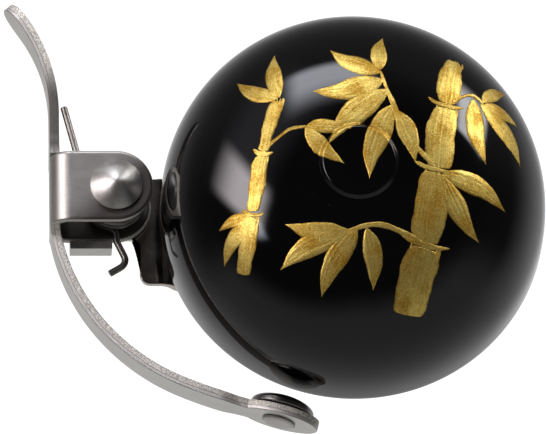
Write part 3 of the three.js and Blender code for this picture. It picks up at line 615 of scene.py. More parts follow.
lacquer = make_black_lacquer()
gold = make_gold_paint()
lever_steel = make_lever_steel("lever steel", tab_painted_shade, (0.88, 0.86, 0.82, 1), 0.31)
# The ears are the strip's own stainless, given a darker colour as painted shade.
ear_steel_painted_darker = make_lever_steel("ear steel painted darker", ear_painted_shade, (0.6, 0.575, 0.54, 1), 0.35)
# The striker's steel is given a dark colour as a painted reflection of the black dome above it.
polished_steel_painted_dark = make_metal(
    "polished steel painted dark", (0.22, 0.21, 0.2, 1), (0.36, 0.345, 0.33, 1), (0.2, 0.32), (300.0,) * 3)
satin_steel = make_metal(
    "satin steel", (0.6, 0.575, 0.545, 1), (0.76, 0.735, 0.705, 1), (0.38, 0.48), (300.0,) * 3)
rivet_steel = make_metal(
    "rivet steel", (0.5, 0.475, 0.44, 1), (0.76, 0.735, 0.69, 1), (0.36, 0.44), (260.0,) * 3, 330.0, 0.5)
bracket_steel = make_metal(
    "bracket steel", (0.4, 0.355, 0.32, 1), (0.6, 0.54, 0.49, 1), (0.12, 0.22), (120.0, 1600.0, 1600.0))
spring_steel = make_metal(
    "spring wire", (0.13, 0.12, 0.11, 1), (0.34, 0.32, 0.29, 1), (0.34, 0.48), (500.0, 500.0, 900.0))
zinc = make_metal(
    "zinc plate", (0.46, 0.47, 0.49, 1), (0.66, 0.67, 0.68, 1), (0.3, 0.46), (420.0,) * 3, 520.0)
rubber = make_soft_stuff("black rubber", (0.012, 0.012, 0.012, 1), (0.03, 0.03, 0.03, 1), (0.6, 0.85), 2200.0)
fibre = make_soft_stuff("red fibre", (0.16, 0.045, 0.025, 1), (0.27, 0.09, 0.05, 1), (0.65, 0.85), 3000.0)


# The dome, its crown screw and the painting on it


def dome_curve(radius, height, count):
    """Superellipse from the equator up: r = R cos^(2/p) a, z = H sin^(2/p) a, as far as the crown's seat."""
    last = math.acos((CROWN_SEAT_RADIUS / radius) ** (DOME_POWER / 2))
    angle = last * np.linspace(0, 1, 1200) ** 1.6
    curve = np.stack([radius * np.cos(angle) ** (2 / DOME_POWER),
                      EQUATOR + height * np.sin(angle) ** (2 / DOME_POWER)], axis=1)
    length = np.linalg.norm(np.diff(curve, axis=0), axis=1).sum()
    return even(curve, length / count)


OUTER_CURVE = dome_curve(DOME_RADIUS, DOME_HEIGHT, 150)
CROWN_SEAT = OUTER_CURVE[-1, 1]
DISC_TOP = CROWN_SEAT + DISC_HEIGHT


def make_dome():
    """The dome's shell: outer curve, flat seat at the crown, inner curve and a round rim, turned round Z."""
    inner_radius, seat = DOME_RADIUS - DOME_WALL, CROWN_SEAT_RADIUS - 0.1
    foot, seat_back = EQUATOR - DOME_SKIRT, CROWN_SEAT - DOME_WALL
    inner = dome_curve(inner_radius, DOME_HEIGHT - DOME_WALL, 60)
    rim_radius, rim_break, bore = 0.4, 0.15, 2.6
    rim = arc_points(DOME_RADIUS - rim_radius, foot + rim_radius, rim_radius, -90, 0, 7)
    profile = np.concatenate([
        [[inner_radius + rim_break, foot]], rim, OUTER_CURVE,
        [[seat, CROWN_SEAT], [bore, CROWN_SEAT], [bore, seat_back], [seat, seat_back]],
        inner[::-1], [[inner_radius, foot + rim_break]]])
    points, faces = turned(profile, 384, closed=True)
    make_piece("dome_shell", points, faces, lacquer, "base", ["bell_dome"])


def make_crown_screw():
    """The crown screw's disc head with its bevelled, slightly rounded edge, and its shank, turned round Z."""
    shank, end = 2.5, CROWN_SEAT - 7
    profile = rounded([
        (0, end, 0), (shank, end, 0.4), (shank, CROWN_SEAT, 0.1),
        (DISC_RADIUS, CROWN_SEAT, 0.06), (DISC_TOP_RADIUS, DISC_TOP, 0.3), (0, DISC_TOP, 0)])
    points, faces = turned(profile, 256)
    make_piece("crown_disc", points, faces, lacquer, "base", ["crown_screw"])


def crown_profile():
    """The painted surface: the disc's top, its bevel, the seat and the dome's outer curve, as distance from
    the crown along it, radius, height, and the outward normal's two parts."""
    line = np.concatenate([
        [[0, DISC_TOP], [DISC_TOP_RADIUS, DISC_TOP], [DISC_RADIUS, CROWN_SEAT]], OUTER_CURVE[::-1]])
    line = even(line, 0.05)
    slope = tangents(line)
    return distances(line), line[:, 0], line[:, 1], -slope[:, 1], slope[:, 0]


CROWN_PROFILE = crown_profile()


def on_dome(flat, height):
    """A point of the flat drawing laid on the dome: its distance from the middle becomes the distance from
    the crown along the surface, its direction stays, and the height goes along the surface's normal."""
    travelled, radius, level, out, up = CROWN_PROFILE
    distance = np.linalg.norm(flat, axis=-1)
    way = flat / np.maximum(distance, 1e-6)[..., None]
    r = np.interp(distance, travelled, radius) + height * np.interp(distance, travelled, out)
    z = np.interp(distance, travelled, level) + height * np.interp(distance, travelled, up)
    return np.concatenate([way * r[..., None], z[..., None]], axis=-1)


def brush_curve(points, count):
    """A smooth curve through its points: Catmull-Rom pieces, evened out to a number of gaps, each at least
    0.1 mm."""
    p = np.array(points, float)
    p = np.concatenate([[2 * p[0] - p[1]], p, [2 * p[-1] - p[-2]]])
    t = np.linspace(0, 1, 24, endpoint=False)[:, None]
    parts = []
    for a, b, c, d in zip(p[:-3], p[1:-2], p[2:-1], p[3:]):
        parts.append(0.5 * (2 * b + (c - a) * t + (2 * a - 5 * b + 4 * c - d) * t ** 2
                            + (3 * b - a - 3 * c + d) * t ** 3))
    curve = np.concatenate(parts + [p[-2:-1]])
    length = np.linalg.norm(np.diff(curve, axis=0), axis=1).sum()
    return even(curve, max(length / count, 0.1)), length


def wobble(places, rng, sizes):
    """Uneven brush pressure: a sum of sines of different wave lengths with random phases."""
    total = np.zeros_like(places)
    for wave, depth in sizes:
        total += depth * np.sin(2 * math.pi * places / wave + rng.uniform(0, 2 * math.pi))
    return total


def leaf_shape(t, start, end):
    """How wide a stroke is from its root to its tip: t^start (1 - t)^end, scaled to 1 at its widest."""
    widest = start / (start + end)
    return t ** start * (1 - t) ** end / (widest ** start * (1 - widest) ** end)


def paint_stroke(points, width, start, end, rough, rng):
    """One stroke as a closed film: along it the half width is half the brush's width times the stroke's
    shape, with an outline that wanders a little on each side. Across it the film is a flat-topped lens,
    1 - x^8, with fine ridges along the stroke. Gives points, the stroke coordinates and how thin it is."""
    full_height_half, full_tone_half, gaps = 0.25, 0.35, 110
    curve, length = brush_curve(points, gaps)
    t = np.linspace(0, 1, len(curve))
    side = left_of(tangents(curve))
    half = width / 2 * leaf_shape(np.clip(t, 1e-5, 1 - 1e-5), start, end)
    waves = [(9.0, 0.26), (3.4, 0.1), (1.4, 0.04), (0.6, 0.02)]
    left, right = (half + rough * wobble(t * length, rng, waves) * np.minimum(half, 0.6) for _ in range(2))
    top_columns, under_columns = 15, 3
    across = np.concatenate([np.linspace(-1, 1, top_columns), np.linspace(1, -1, under_columns + 2)[1:-1]])
    on_top = np.arange(len(across)) < top_columns
    reach = np.where(across[None] < 0, -left[:, None], right[:, None]) * np.abs(across)[None]
    thickness, sunk, least = 0.075, -0.06, 0.004
    ridges = 0.2 * np.sin(across * 17 + rng.uniform(0, 6)) + 0.15 * np.sin(across * 31 + rng.uniform(0, 6))
    film = np.where(on_top, thickness * (1 - across ** 8) * (1 + ridges) + least, sunk)
    flat = curve[:, None] + side[:, None] * reach[..., None]
    height = np.broadcast_to(film, reach.shape) * np.minimum(half / full_height_half, 1)[:, None]
    shift = rng.uniform(0, 50)
    along = np.broadcast_to((t * length)[:, None] + shift, reach.shape)
    stroke = np.stack([along, reach + shift, np.full(reach.shape, shift)], axis=-1)
    thin = np.maximum(np.abs(across)[None], 1 - np.minimum(half / full_tone_half, 1)[:, None])
    ends = [0, *range(len(t)), -1]
    return closed_ends(on_dome(flat, height)), stroke[ends], thin[ends]


def make_painting(name, strokes, seed):
    """Many strokes in one mesh, each a closed film of its own."""
    rng = np.random.default_rng(seed)
    points, faces, along, thin, count = [], [], [], [], 0
    for stroke in strokes:
        grid, coordinates, thinness = paint_stroke(*stroke, rng)
        rows, columns = grid.shape[:2]
        points.append(grid.reshape(-1, 3))
        faces.append(grid_faces(rows, columns) + count)
        along.append(coordinates.reshape(-1, 3))
        thin.append(thinness.ravel())
        count += rows * columns
    attributes = {"stroke": np.concatenate(along), "thin": np.concatenate(thin)}
    make_piece(name, np.concatenate(points), np.concatenate(faces), gold, "base",
               attributes=attributes, crease=80)


def culm(joints, widths, rng):
    """A bamboo stem: one stroke from joint to joint with a gap between them, and where the brush lifts, a few
    hairs that run on past the stroke's end."""
    strokes = []
    for a, b, width in zip(joints[:-1], joints[1:], widths):
        a, b = np.array(a, float), np.array(b, float)
        way = (b - a) / np.linalg.norm(b - a)
        side = left_of(way)
        strokes.append(([a + way * 0.5, (a + b) / 2 + side * 0.15, b - way * 0.3], width, 0.14, 0.16, 1.0))
        for place in rng.uniform(-0.42, 0.42, 7):
            root = b - way * rng.uniform(1.2, 2.2) + side * place * width
            tip = b + way * rng.uniform(-0.1, 0.5) + side * place * width * 1.04
            strokes.append(([root, (root + tip) / 2, tip], rng.uniform(0.2, 0.45), 0.5, 0.7, 0.5))
    return strokes


def way_and_side(degrees):
    """The unit vector at an angle, and the one to its left."""
    angle = math.radians(degrees)
    way = np.array([math.cos(angle), math.sin(angle)])
    return way, left_of(way)


def joint_mark(place, degrees, width):
    """The thin mark at a stem's joint: a short stroke across it whose ends turn up."""
    way, side = way_and_side(degrees)
    end, inner = side * width * 0.66, side * width * 0.3
    points = [place + end + way * 0.55, place + inner, place - inner, place - end + way * 0.4]
    return points, 0.75, 0.4, 0.5, 0.8


def leaf(root, degrees, length, width, bend):
    """A bamboo leaf: a thin stalk that swells soon and runs out to a long point, along a bow."""
    way, side = way_and_side(degrees)
    points = [root, root + way * length * 0.3 + side * bend * 0.7, root + way * length * 0.65 + side * bend,
              root + way * length]
    return points, width, 0.85, 1.25, 0.45


def twig(points, width=0.8):
    """A thin branch: a stroke of nearly even width."""
    return points, width, 0.2, 0.3, 0.9


make_dome()
make_crown_screw()


# The lever: the thumb tab, web, arm and pad of one bent strip, and the two ears folded from it


def lever_line():
    """The strip's middle line in plan, from the thumb tab's tip to the pad's far end, with the distance
    counted from the web's upper edge, and the distance and the heading at the pad's middle. The arm's main
    bend and its straight end take the lengths that bring the pad to its place beside the dome: the two
    unknown lengths solve the two sums of x and y."""
    top, low = PIVOT[1] + EAR_RADIUS, PIVOT[1] - EAR_RADIUS
    thumb = bent_line(WEB_X, top, 90, [(THUMB_STRAIGHT, 0), (THUMB_LENGTH - THUMB_STRAIGHT, THUMB_TURN)])
    bends = [9.6, 56.7, 8.0]
    bend_radius, tail_radius = 3.0, 60.0
    h0, h1, h2, h3 = np.radians(-90 + np.concatenate([[0], np.cumsum(bends)]))

    def arc(radius, start, end):
        return radius * np.array([math.sin(end) - math.sin(start), math.cos(start) - math.cos(end)])

    rest = PAD_CENTRE - [WEB_X, low] - arc(bend_radius, h0, h1) - arc(tail_radius, h2, h3)
    unknown = np.stack([arc(1, h1, h2), [math.cos(h3), math.sin(h3)]], axis=1)
    main_radius, straight = np.linalg.solve(unknown, rest)
    lengths = [bend_radius, main_radius, tail_radius] * np.radians(bends)
    arm = bent_line(WEB_X, top, -90, [(WEB_LENGTH, 0), *zip(lengths, bends), (straight + PAD_REACH, 0)])
    travelled, x, y, heading = thumb
    back = -travelled, x, y, heading - math.pi
    line = [np.concatenate([thumb_part[::-1], arm_part[1:]]) for thumb_part, arm_part in zip(back, arm)]
    return line, WEB_LENGTH + lengths.sum() + straight, h3


LEVER_LINE, PAD_MIDDLE, PAD_HEADING = lever_line()


def strip_half_width(t):
    """Half of the strip's width at a distance along it: a round-ended thumb tab that is a little wider at its
    tip, shoulders beside the web, the web's flat, a narrow arm with a waist, and the oval pad."""
    narrow, shoulder, oval_half = 2.75, 4.175, 3.8
    tip_growth, waist_depth, waist_length = 0.45, 0.55, 3.2
    upper_shoulder, lower_shoulder = 3.4, 1.2
    thumb = shoulder + (narrow - shoulder) * smoothstep(-t, 0, upper_shoulder)
    thumb = thumb + tip_growth * smoothstep(-t, THUMB_LENGTH / 2 + 0.15, THUMB_LENGTH - TIP_LENGTH)
    past = np.clip((-t - THUMB_LENGTH + TIP_LENGTH) / TIP_LENGTH, 0, 1)
    thumb = thumb * np.sqrt(np.maximum(1 - past ** 2, 0))
    from_middle = (t - PAD_MIDDLE) / PAD_REACH
    strip = shoulder + (narrow - shoulder) * smoothstep(t - WEB_LENGTH, 0, lower_shoulder)
    strip = strip - waist_depth * smoothstep(from_middle, -1 - waist_length / PAD_REACH, -1)
    oval = oval_half * np.sqrt(np.maximum(1 - from_middle ** 2, 0))
    arm = np.where(from_middle < 0, np.maximum(strip, oval), oval)
    return np.where(t <= 0, thumb, np.where(t < WEB_LENGTH, FLAT_HALF, arm))


def make_lever_strip():
    """The strip: rows close together at its round tip, its shoulders and its pad's end, its section's corners
    rounded a little as shearing leaves them."""
    first, last = LEVER_LINE[0][0], LEVER_LINE[0][-1]
    rows = np.concatenate([
        first + TIP_LENGTH * (1 - np.cos(np.linspace(0, math.pi / 2, 26))),
        np.linspace(first + TIP_LENGTH + 0.2, -0.3, 60), [-0.15, -0.01, 0.01],
        np.linspace(0.5, WEB_LENGTH - 0.5, 12), [WEB_LENGTH - 0.01, WEB_LENGTH + 0.01],
        np.linspace(WEB_LENGTH + 0.15, PAD_MIDDLE - PAD_REACH - 0.15, 110),
        np.linspace(PAD_MIDDLE - PAD_REACH, PAD_MIDDLE - 0.2, 36),
        last - PAD_REACH + PAD_REACH * np.sin(np.linspace(0, math.pi / 2, 40))])
    half = strip_half_width(rows)
    corner, torn_lean = 0.12, 0.02
    sheet, wall = bent_sheet(*edge_pair(rows, half), LEVER_SHEET, corner, torn_lean)
    points = along_line(LEVER_LINE, sheet, [(1, 0, 0), (0, 1, 0), (0, 0, 1)], LEVER_MIDDLE)
    make_bent_piece("lever_strip", points, lever_steel, "lever_arm", ["lever"],
                    sheet * [1, 1, 1 / LEVER_SHEET], wall)


def make_ear(name, side):
    """One ear: from the web's flat, round the bend and out past the pivot, with a round end about it."""
    middle_radius = CHANNEL_BEND - LEVER_SHEET / 2
    bend = middle_radius * math.pi / 2
    reach = PIVOT[0] + EAR_RADIUS - (WEB_X + middle_radius)
    line = bent_line(WEB_X, FLAT_HALF, 90, [(bend, -90), (reach, 0)])
    centre = line[0][-1] - EAR_RADIUS
    rows = np.concatenate([np.linspace(0, bend, 22), np.linspace(bend + 0.2, centre - 0.1, 12),
                           centre + EAR_RADIUS * np.sin(np.linspace(0, math.pi / 2, 32))])
    half = np.sqrt(np.maximum(EAR_RADIUS ** 2 - np.maximum(rows - centre, 0) ** 2, 0))
    corner, torn_lean = 0.42, -0.14
    sheet, wall = bent_sheet(*edge_pair(rows, half), LEVER_SHEET, corner, torn_lean)
    points = along_line(line, sheet, [(1, 0, 0), (0, 0, 1), (0, 1, 0)], PIVOT[1])
    points = points * [1, 1, side] + [0, 0, LEVER_MIDDLE]
    make_bent_piece(name, points, ear_steel_painted_darker, "lever_arm", (),
                    sheet * [1, 1, -1 / LEVER_SHEET], wall)


def make_striker():
    """The striker: a low dome over a short rim with its shank through the pad, and the shank's spread tail
    outside, both turned round the pad's normal."""
    seat, radius, height, rim, shank = 0.8, 4.6, 1.9, 0.5, 1.5
    tail_radius, tail_flat, tail_height, tail_edge = 2.5, 1.9, 0.5, 0.42
    angle = np.linspace(0, math.pi / 2, 24)
    cap = np.stack([radius * np.cos(angle), seat + rim + (height - rim) * np.sin(angle)], axis=1)
    button = np.concatenate([rounded([(0, 0, 0), (shank, 0, 0), (shank, seat, 0.05), (radius, seat, 0.08),
                                      (radius, seat + rim, 0)])[:-1], cap])
    tail = rounded([(0, -seat - tail_height, 0), (tail_flat, -seat - tail_edge, 0.8),
                    (tail_radius, -seat, 0.1), (shank, -seat, 0.05), (shank, 0, 0), (0, 0, 0)])
    normal = (-math.sin(PAD_HEADING), math.cos(PAD_HEADING), 0)
    place = (*PAD_CENTRE, LEVER_MIDDLE)
    # The button's steel is painted dark for the black dome it reflects; the tail is plain satin steel.
    for name, profile, material, nodes in (
            ("striker_button", button, polished_steel_painted_dark, ["striker_head"]),
            ("striker_tail", tail, satin_steel, ())):
        points, faces = turned(profile, 128)
        points = pointed(points, normal, place)
        make_piece(name, points, faces, material, "lever_arm", nodes)


def make_rivet():
    """The pivot rivet, turned round the pivot: a head over a short rim that rises to a blunt point as
    1 - (r/R)^1.5, its shank and its spread tail."""
    radius, rim, height, shank = 3.7, 0.3, 2.2, 1.8
    tail_radius, tail_flat, tail_height, tail_edge = 2.9, 2.0, 0.9, 0.81
    front, behind = CHANNEL_FRONT + 0.15, PLATE_TOP - BRACKET_SHEET - 0.1
    part = np.cos(np.linspace(0, math.pi / 2, 30))
    cap = np.stack([radius * part, front + rim + (height - rim) * (1 - part ** 1.5)], axis=1)
    under = rounded([(0, behind - tail_height, 0), (tail_flat, behind - tail_edge, 0.9),
                     (tail_radius, behind, 0.1), (shank, behind, 0.05),
                     (shank, front, 0.05), (radius, front, 0.08), (radius, front + rim, 0)])
    points, faces = turned(np.concatenate([under[:-1], cap]), 160)
    make_piece("rivet", points + [*PIVOT, 0], faces, rivet_steel, "base", ["pivot_rivet"])


make_lever_strip()
make_ear("front_ear", 1)
make_ear("rear_ear", -1)
make_striker()
make_rivet()


# The bracket and the spring


def make_bracket():
    """The bracket's plate: a sheet that runs level, bends down and runs on to the post, between two edges in
    plan that have rounded corners and a round end about the post. Rows are spaced evenly along both edges, by
    the sum of their steps in x and y. The shelf is a second sheet that bends down from the plate's front."""
    left, shoulder = -40.1, SHELF_RIGHT + 4
    half_width, corner, tongue, notch, fold_start = 7.95, 1.5, 7.2, -1.2, -2.4
    level_length, drop, bend_radius, bend_turn = 12.8, 3.5, 2.2, 55
    bend = math.radians(bend_turn)
    slope = (drop - 2 * bend_radius * (1 - math.cos(bend))) / math.sin(bend)
    middle = PLATE_TOP - BRACKET_SHEET / 2
    line = bent_line(left, middle, 0, [(level_length, 0), (bend_radius * bend, -bend_turn), (slope, 0),
                                       (bend_radius * bend, bend_turn), (half_width - left, 0)])
    end_arc = arc_points(0, 0, half_width, 90, 0, 30)
    side_start, side_end = -27.4, -0.5

    def on_line(points):
        return np.stack([np.interp(points[:, 0], line[1], line[0]), points[:, 1]], axis=1)

    high = np.concatenate([
        [[left, fold_start + 0.01]], arc_points(left + corner, tongue - corner, corner, 180, 90),
        [[-37, tongue], [SHELF_RIGHT, tongue], [-31.7, tongue], [shoulder - 0.02, tongue], [shoulder, 6.5]],
        arc_points(shoulder + corner, half_width - corner, corner, 180, 90),
        [[x, half_width] for x in np.linspace(side_start, side_end, 40)], end_arc])
    low = np.concatenate([
        [[left, fold_start]] * 2,
        [[left + 1, fold_start], [-37, fold_start], [SHELF_RIGHT - 0.02, fold_start],
         [SHELF_RIGHT, notch - 0.05], [SHELF_RIGHT + 0.05, notch]],
        arc_points(shoulder - corner, notch - corner, corner, 90, 0),
        [[shoulder, -5]], arc_points(shoulder + corner, -half_width + corner, corner, 180, 270),
        [[x, -half_width] for x in np.linspace(side_start, side_end, 30)], end_arc * [1, -1]])
    spread = np.linspace(0, 1, 110)

    def matched(edge):
        places = np.concatenate([[0], np.cumsum(np.abs(np.diff(edge, axis=0)).sum(axis=1))])
        return np.stack([np.interp(spread * places[-1], places, edge[:, k]) for k in (0, 1)], axis=1)

    high, low = on_line(matched(high)), on_line(matched(low))
    sheet, _ = bent_sheet(high, low, BRACKET_SHEET, 0.15)
    points = along_line(line, sheet, [(1, 0, 0), (0, 0, 1), (0, 1, 0)], 0.0)
    make_bent_piece("bracket_plate", points, bracket_steel, "base", ["base_bracket"])

    fold_arc, shelf_depth = 0.7 * math.pi / 2, 3.1
    fold = bent_line(fold_start, middle, 180, [(fold_arc, -90), (shelf_depth, 0)])
    rows = np.concatenate([np.linspace(0, fold_arc, 12), np.linspace(fold_arc + 0.2, fold[0][-1], 10)])
    half = np.full(len(rows), (SHELF_RIGHT - left) / 2)
    sheet, _ = bent_sheet(*edge_pair(rows, half), BRACKET_SHEET, 0.12)
    points = along_line(fold, sheet, [(0, 1, 0), (0, 0, 1), (1, 0, 0)], (left + SHELF_RIGHT) / 2)
    make_bent_piece("bracket_shelf", points, satin_steel, "base")


def make_spring():
    """The torsion spring as one wire. Hook, slanted leg and standing leg are straight runs with rounded
    knees; an arc takes the leg into the coil, a helix about the pivot that climbs by its pitch for each turn;
    the upper leg leaves it straight along the thumb tab. In the bell the hook stays with the bracket, the
    upper leg turns with the lever, and the coil winds up between them; here the wire is placed once and rides
    on no body."""
    radius, wire, pitch, turns, bend = 3.85, 1.0, 1.55, 3, 1.3
    slant_length, hook_length, upper_length = 3.8, 3.05, 14.2
    leg_x = SHELF_RIGHT + wire / 2 + 0.05
    reach = radius + bend
    join = 2 * math.pi - math.acos((leg_x - bend - PIVOT[0]) / reach)
    upper = math.radians(14.6)
    sweep = join - math.pi - upper + turns * 2 * math.pi
    rise = pitch * sweep / (2 * math.pi)
    front = CHANNEL_FRONT - 3.25
    back = front - rise
    slant, hook = math.radians(25.7), math.radians(30.5)
    shelf_top = PIVOT[1] - EAR_RADIUS - 0.4
    bend_y = PIVOT[1] + reach * math.sin(join)
    elbow = np.array([leg_x, shelf_top, back])
    lower = elbow + slant_length * np.array([math.sin(slant), -math.cos(slant), 0])
    tip = lower + hook_length * np.array([-math.cos(hook), -math.sin(hook), 0])
    entry = np.array([leg_x, bend_y, back])
    angle = (join - math.pi) * np.linspace(0, 1, 16, endpoint=False)[:, None]
    turn_in = np.array([leg_x - bend, bend_y, back]) + bend * np.concatenate(
        [np.cos(angle), np.sin(angle), np.zeros_like(angle)], axis=1)
    part = np.linspace(0, 1, 340)[:, None]
    angle = join - sweep * part
    coil = np.concatenate([PIVOT[0] + radius * np.cos(angle), PIVOT[1] + radius * np.sin(angle),
                           back + rise * part], axis=1)
    away = np.array([-math.sin(upper), math.cos(upper), 0])
    straight = coil[-1] + away * np.linspace(0.5, upper_length, 40)[:, None]
    knees = [corner_arc(tip, lower, elbow, bend, 8)[0], corner_arc(lower, elbow, entry, bend, 8)[0]]
    route = np.concatenate([[tip], *knees, turn_in, coil, straight])
    points, faces = tube(even(route, 0.3), wire / 2)
    bodies = ("base", "lever_arm", Vector((*PIVOT, back)) * MM, Vector((*PIVOT, front)) * MM)
    make_piece("spring_wire", points, faces, spring_steel, bodies, ["torsion_spring"])


make_bracket()
make_spring()


# Hardware that keeps its solid's shape, with broken edges

for node, name, material, slot in (
        ("center_post", "bell_post", zinc, "plated_steel"),
        ("dome_washer", "fibre_washer", fibre, "fibre"),
        ("post_lock_washer", "lock_washer", zinc, "plated_steel"),
        ("post_screw", "post_screw_body", zinc, "plated_steel"),
        ("strap_band", "clamp_band", zinc, "plated_steel"),
        ("strap_liner", "clamp_liner", rubber, "rubber"),
        ("clamp_screw", "clamp_screw_body", zinc, "plated_steel"),
        ("clamp_washer", "clamp_flat_washer", zinc, "plated_steel"),
        ("clamp_nut", "clamp_hex_nut", zinc, "plated_steel"),
        ("pivot_bush", "bush_sleeve", zinc, "plated_steel"),
        ("pivot_washer", "thin_washer", zinc, "plated_steel")):
    refined(node, name, material, "base")


# The painting: bamboo

painter = np.random.default_rng(11)
BOLD_CULM = [(7.2, -23.0), (9.6, -12.4), (11.4, -1.2), (12.9, 9.2), (15.2, 18.6)]
SLIM_CULM = [(-17.6, -16.5), (-15.6, -7.4), (-14.0, 1.6), (-11.6, 10.2)]
stems = culm(BOLD_CULM, (5.6, 5.0, 4.4, 3.6), painter) + culm(SLIM_CULM, (2.7, 2.4, 2.1), painter)
stems += [joint_mark(*mark) for mark in (
    ((9.6, -12.2), 79, 5.6), ((11.4, -1.0), 81, 5.0), ((12.9, 9.4), 79, 4.2),
    ((-15.6, -7.3), 79, 2.6), ((-14.0, 1.7), 77, 2.3))]
stems += [twig([(11.0, -0.6), (7.2, 4.0), (4.6, 10.4), (3.4, 14.6)]),
          twig([(13.4, 9.6), (17.0, 12.0), (19.4, 10.8)], 0.7),
          twig([(9.4, -12.0), (3.6, -9.6), (-2.2, -10.4)], 0.8),
          twig([(-13.8, 2.0), (-10.4, 5.0), (-7.4, 5.6)], 0.6)]
make_painting("gold_stems", stems, 12)
leaves = [leaf(*one) for one in (
    ((3.4, 14.6), 84, 6.8, 2.4, 0.5), ((3.5, 14.2), 150, 8.6, 3.0, 0.7),
    ((3.8, 13.0), 190, 10.6, 3.6, 0.8), ((4.4, 11.4), 226, 12.6, 3.9, -0.9),
    ((5.2, 9.0), 252, 12.4, 3.6, -0.8), ((5.6, 8.0), 288, 8.6, 2.8, 0.5),
    ((19.0, 11.2), 38, 7.5, 2.4, 0.5), ((19.2, 10.8), -14, 7.0, 2.6, 0.5),
    ((18.6, 10.8), -52, 11.5, 3.4, 0.9), ((17.4, 11.4), -82, 11.0, 3.2, -0.7),
    ((-2.0, -10.4), 172, 9.0, 2.8, 0.6), ((-1.6, -10.3), 208, 11.5, 3.6, -0.8),
    ((-0.4, -10.2), 241, 11.0, 3.4, -0.7), ((1.0, -10.0), 276, 9.0, 2.8, 0.5),
    ((12.0, -1.4), -24, 11.5, 3.2, 0.8), ((12.2, -2.0), -58, 11.0, 3.2, -0.7),
    ((-11.4, 10.4), 96, 8.6, 2.6, 0.5), ((-11.6, 10.2), 146, 8.0, 2.6, 0.6),
    ((-7.6, 5.6), -8, 6.6, 2.2, 0.4), ((-7.8, 5.4), -46, 8.2, 2.6, -0.5),
    ((-15.8, -7.6), 196, 5.6, 2.0, -0.4), ((-15.6, -7.8), 232, 8.6, 2.6, -0.6),
)]
make_painting("gold_leaves", leaves, 13)


# The room: a pale floor, a dim sky with soft boxes, and the camera

FLOOR_WHITENESS = 0.78


def wall_level(tree, forward, dim, front):
    """How bright the room is from the share of a direction along +Y: dim at the sides, brighter in front
    (-Y), and a little brighter behind."""
    return plus(tree, ramp(tree, forward, -0.1, -0.55, dim, front), ramp(tree, forward, 0.1, 0.7, 0.0, 0.09))


def floor_glow(tree):
    """What metal sees in the floor, from the place on it. Far away it is as bright as the sky's edge, and it
    brightens towards the spot under the bell as 1 / (1 + (distance / radius)^2), more so to both sides than
    straight behind or in front. A wide lobe of light lies to the right (+X)."""
    place = add(tree, "ShaderNodeTexCoord").outputs["Object"]
    away = add(tree, "ShaderNodeVectorMath", {0: place}, operation="LENGTH").outputs["Value"]
    flat = add(tree, "ShaderNodeVectorMath", {0: place}, operation="NORMALIZE").outputs[0]
    forward = add(tree, "ShaderNodeSeparateXYZ", {"Vector": flat}).outputs["Y"]
    rightward = add(tree, "ShaderNodeVectorMath", {0: flat, 1: (0.996, 0.087, 0.0)},
                    operation="DOT_PRODUCT").outputs["Value"]

    def falloff(radius):
        part = math_node(tree, "DIVIDE", away, radius)
        return math_node(tree, "DIVIDE", 1.0, plus(tree, 1.0, times(tree, part, part)))

    far = wall_level(tree, forward, 0.06, 0.33)
    beside = times(tree, ramp(tree, forward, -0.9, 0.1), ramp(tree, forward, 0.97, 0.8, 0.0, 1.4))
    near = times(tree, math_node(tree, "SUBTRACT", 0.82, far), falloff(0.085))
    near = times(tree, near, plus(tree, beside, 1.0))
    lobe = times(tree, ramp(tree, rightward, 0.72, 0.98, 0.0, 0.4), falloff(0.35))
    return plus(tree, plus(tree, far, near), lobe)


def make_floor():
    """A wide pale floor well below the bell. The camera sees it near white; metal sees its graded glow; it
    keeps the bell's shadow. From below it is clear, so that the bell can be looked at from there."""
    size, level = 3.0, -0.09
    mesh = bpy.data.meshes.new("floor")
    mesh.from_pydata([(-size, -size, level), (size, -size, level), (size, size, level), (-size, size, level)],
                     [], [(0, 1, 2, 3)])
    material = bpy.data.materials.new("pale floor")
    material.use_nodes = True
    tree = material.node_tree
    tree.nodes.clear()
    rays = add(tree, "ShaderNodeLightPath").outputs
    clear = math_node(tree, "ADD", rays["Is Glossy Ray"], rays["Is Transmission Ray"], clamp=True)
    seen = math_node(tree, "ADD", times(tree, rays["Is Camera Ray"], FLOOR_WHITENESS), clear, clamp=True)
    seen_level = add(tree, "ShaderNodeMapRange", {"Value": clear, "To Min": 1.3, "To Max": floor_glow(tree)})
    diffuse = add(tree, "ShaderNodeBsdfDiffuse", {"Color": (0.82, 0.82, 0.82, 1)})
    glow = add(tree, "ShaderNodeEmission", {"Color": (1, 1, 1, 1), "Strength": seen_level.outputs["Result"]})
    mixed = add(tree, "ShaderNodeMixShader", {0: seen, 1: diffuse.outputs[0], 2: glow.outputs[0]})
    behind = add(tree, "ShaderNodeNewGeometry").outputs["Backfacing"]
    clear_back = add(tree, "ShaderNodeBsdfTransparent")
    both = add(tree, "ShaderNodeMixShader", {0: behind, 1: mixed.outputs[0], 2: clear_back.outputs[0]})
    add(tree, "ShaderNodeOutputMaterial", {"Surface": both.outputs[0]})
    mesh.materials.append(material)
    floor = bpy.data.objects.new("floor", mesh)
    bpy.context.scene.collection.objects.link(floor)


def direction(azimuth, elevation):
    """The unit vector to an azimuth from +X towards +Y and an elevation, in degrees."""
    a, e = math.radians(azimuth), math.radians(elevation)
    return Vector((math.cos(a) * math.cos(e), math.sin(a) * math.cos(e), math.sin(e)))


